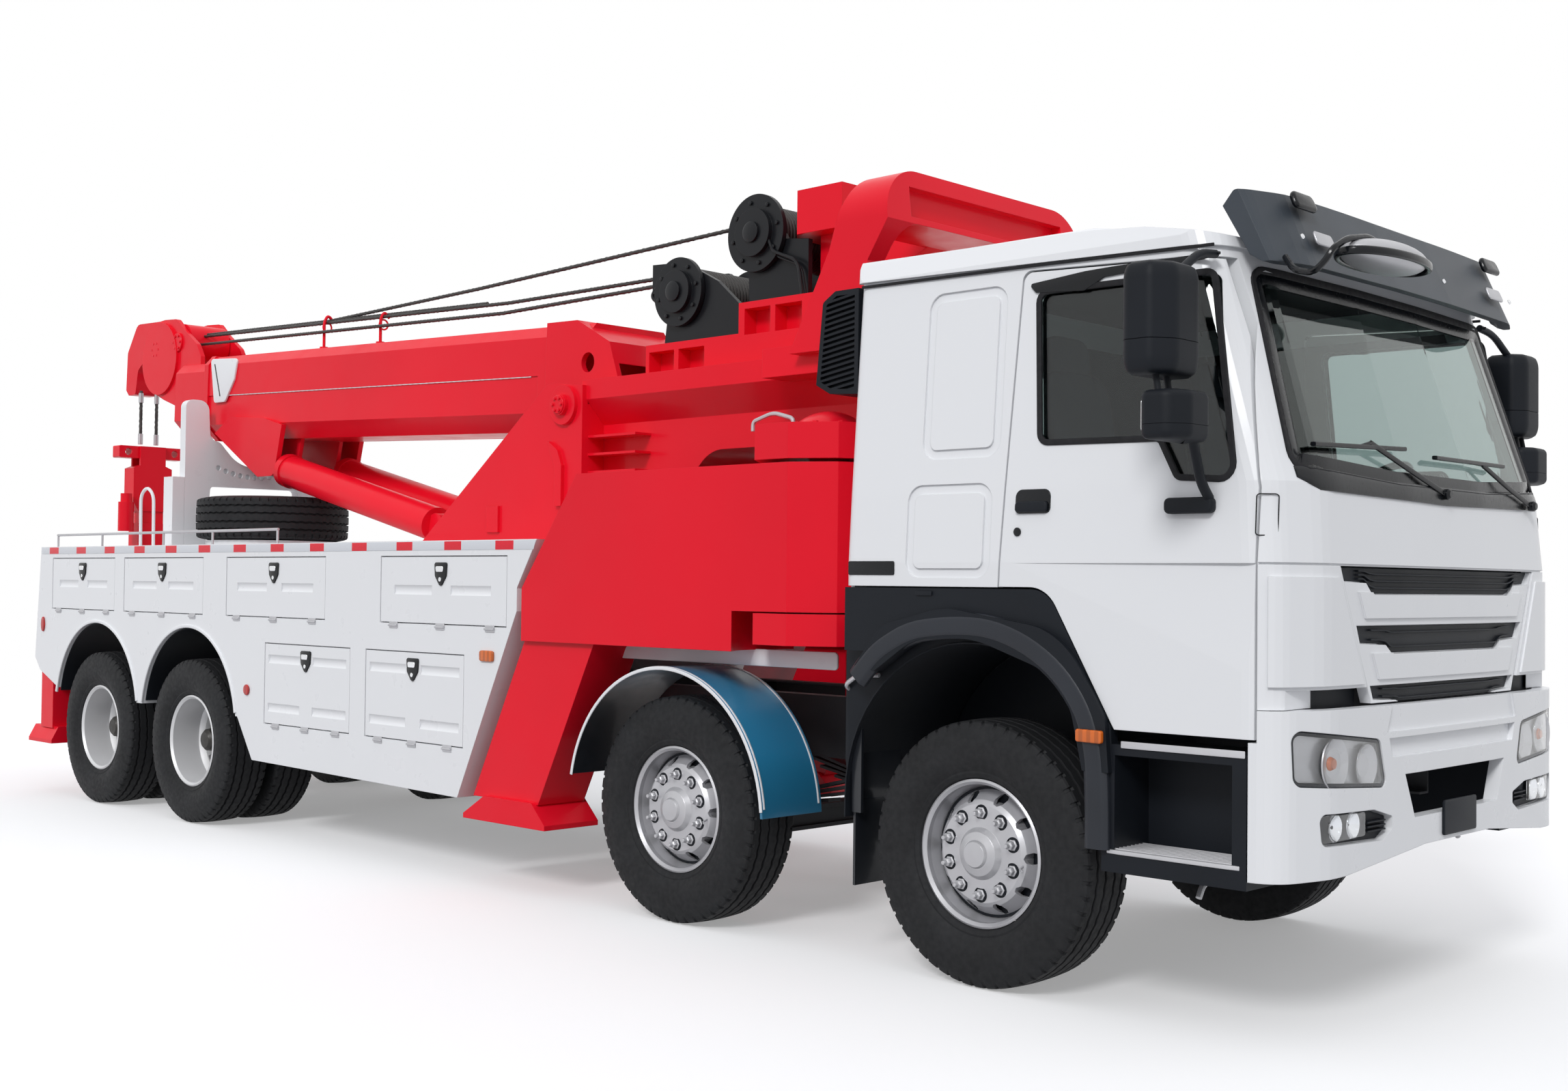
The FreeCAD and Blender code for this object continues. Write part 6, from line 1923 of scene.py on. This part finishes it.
# %% Bases
bases = []
for y in (-0.60, 0.60):
    foot = rounded([(0.20, 1.503, 0.02), (0.60, 1.503, 0.02), (0.62, 1.78, 0.04), (0.17, 1.78, 0.04)])
    bases.append(plate(foot, plane(1, y), -0.20, 0.20, 0.02))
    shell_back = rounded([(0.075, 1.80, 0.02), (0.10, 1.80, 0.02), (0.005, 2.48, 0.02), (-0.03, 2.48, 0.02)])
    bases.append(plate(shell_back, plane(1, y), -0.215, 0.215, 0.012))
bunk = rectangle(-0.59, -0.17, 1.503, 1.73, 0.01, 0.01, 0.02, 0.02)
bases.append(plate(bunk, plane(1, 0), -1.10, 1.10, 0.01))
interior = piece("dash_and_bases", join([loft(dash), *bases]), "trim")
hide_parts("cab_interior")
print("bases", len(bases))

# %% [markdown]
# ## Vents and gauges
# Three dark vents and two round gauges break up the dash, which is enough for what shows through
# the windscreen.

# %% Vents and gauges
GAUGE = [(0.001, 0), (0.055, 0), (0.055, 0.012), (0.048, 0.012), (0.046, 0.004), (0.001, 0.004)]
dash_face = plane(0, 1.006, -1)
slots = [rectangle(y - 0.09, y + 0.09, 1.74, 1.80, 0.01) for y in (-0.8, -0.25, 0.05)]
vents = [plate(slot, dash_face, 0, 0.006) for slot in slots]
gauges = [knob(GAUGE, (1.002, y, 1.83), (-1, 0, 0.1), 28) for y in (0.53, 0.67)]
piece("dash_vents_and_gauges", join(vents + gauges), "gloss_black")
print("vents", len(vents), "gauges", len(gauges))

# %% [markdown]
# ## Floor
# The floor is pale and plain. To the lens it takes shadows near the truck and turns pure white far
# off, so the picture's edge has no horizon; for the light that it throws back it is a mid grey.

# %% Floor finish
scene = bpy.context.scene
scene.view_settings.view_transform = "Standard"
FLOOR_HALF = 60.0


def glow_of(f, strength):
    """White light of a strength."""
    node = f.add("ShaderNodeEmission")
    node.inputs["Color"].default_value = (1, 1, 1, 1)
    node.inputs["Strength"].default_value = strength
    return node


def floor_material():
    """Pale floor that keeps shadows: lit as it is near the truck, plain white to the lens far off."""
    f = Finish("pale_floor", Roughness=0.9, Specular_IOR_Level=0.1)
    f.set("Base Color", (0.36, 0.36, 0.37))
    shaded = f.add("ShaderNodeBsdfDiffuse")
    shaded.inputs["Color"].default_value = (0.72, 0.72, 0.73, 1)
    near = f.mixed("ShaderNodeAddShader", shaded.outputs[0], glow_of(f, 0.30).outputs[0])
    distance = f.add("ShaderNodeVectorMath", operation="LENGTH")
    f.link(f.where, distance.inputs[0])
    far = f.ramp(f.math("DIVIDE", distance.outputs["Value"], 20.0), [(0.35, 0.0), (0.75, 1.0)])
    shown = f.mixed("ShaderNodeMixShader", far, near, glow_of(f, 1.0).outputs[0])
    final = f.mixed("ShaderNodeMixShader", f.seen(), f.shader.outputs[0], shown)
    f.link(final, f.tree.nodes["Material Output"].inputs["Surface"])
    return f.material


corners = [(x * FLOOR_HALF, y * FLOOR_HALF, 0) for x, y in ((-1, -1), (1, -1), (1, 1), (-1, 1))]
floor_mesh = bpy.data.meshes.new("floor")
floor_mesh.from_pydata(corners, [], [(0, 1, 2, 3)])
floor_mesh.materials.append(floor_material())
floor = bpy.data.objects.new("floor", floor_mesh)
scene.collection.objects.link(floor)
print("floor", 2 * FLOOR_HALF, "wide")

# %% [markdown]
# ## Sky
# The sky is an even, soft white, a little brighter overhead. It is plain white for everything that
# looks straight at it, mirrors and glass included, and a gradient for the light that it gives.

# %% Sky


def sky():
    """World light: strength 0.9 times a ramp over the height of the view direction, and white to
    the lens, in reflections and through glass."""
    world = bpy.data.worlds.new("soft_sky")
    world.use_nodes = True
    f = Mixer(world.node_tree, "Generated")
    ground = f.tree.nodes["Background"]
    ground.inputs["Strength"].default_value = 0.9
    gradient = f.ramp(f.split(f.where)["Z"], [(0.0, (0.50, 0.50, 0.52)), (0.75, (0.95, 0.97, 1.0))])
    f.link(gradient, ground.inputs["Color"])
    white = f.add("ShaderNodeBackground")
    white.inputs["Color"].default_value = (1, 1, 1, 1)
    shown = f.mixed("ShaderNodeMixShader", f.seen(), ground.outputs[0], white.outputs[0])
    f.link(shown, f.tree.nodes["World Output"].inputs["Surface"])
    scene.world = world


sky()
print("world", scene.world.name)

# %% [markdown]
# ## Sun
# One broad sun from the front right gives the shapes a light and a shadow side. Its wide angle
# softens the shadows' edges, as thin cloud does.

# %% Sun
SUN_FROM = Vector((0.35, -0.8, 0.6))
sun = bpy.data.lights.new("broad_sun", "SUN")
sun.energy = 1.45
sun.angle = math.radians(14)
sun_object = bpy.data.objects.new("broad_sun", sun)
sun_object.rotation_euler = SUN_FROM.to_track_quat("Z", "Y").to_euler()
scene.collection.objects.link(sun_object)
print("sun from", tuple(round(v, 2) for v in SUN_FROM))

# %% [markdown]
# ## Camera
# The camera stands at eye height ahead of the truck's right corner. Its place and its three angles
# are given, and the view direction follows from them, so the picture is the same on every run.

# %% Camera
CAMERA_PLACE = at([4.232, -6.661, 1.608])
CAMERA_HEADING, CAMERA_PITCH, CAMERA_ROLL = math.radians(134.018), math.radians(1.262), math.radians(0.62)
CAMERA_LENS = 39.56


def camera_axes(heading, pitch, roll):
    """Columns right, up and back: the view points along (cos h cos p, sin h cos p, sin p)."""
    level = math.cos(pitch)
    ahead = np.array([math.cos(heading) * level, math.sin(heading) * level, math.sin(pitch)])
    right = np.cross(ahead, (0, 0, 1))
    right /= np.linalg.norm(right)
    up = np.cross(right, ahead)
    c, s = math.cos(roll), math.sin(roll)
    return np.stack([c * right + s * up, -s * right + c * up, -ahead], 1)


camera = bpy.data.cameras.new("camera")
camera.lens = CAMERA_LENS
camera.sensor_width = 36
camera_object = bpy.data.objects.new("camera", camera)
matrix = np.eye(4)
matrix[:3, :3] = camera_axes(CAMERA_HEADING, CAMERA_PITCH, CAMERA_ROLL)
matrix[:3, 3] = CAMERA_PLACE
camera_object.matrix_world = Matrix(matrix.tolist())
scene.collection.objects.link(camera_object)
scene.camera = camera_object
print("camera at", CAMERA_PLACE.round(3))
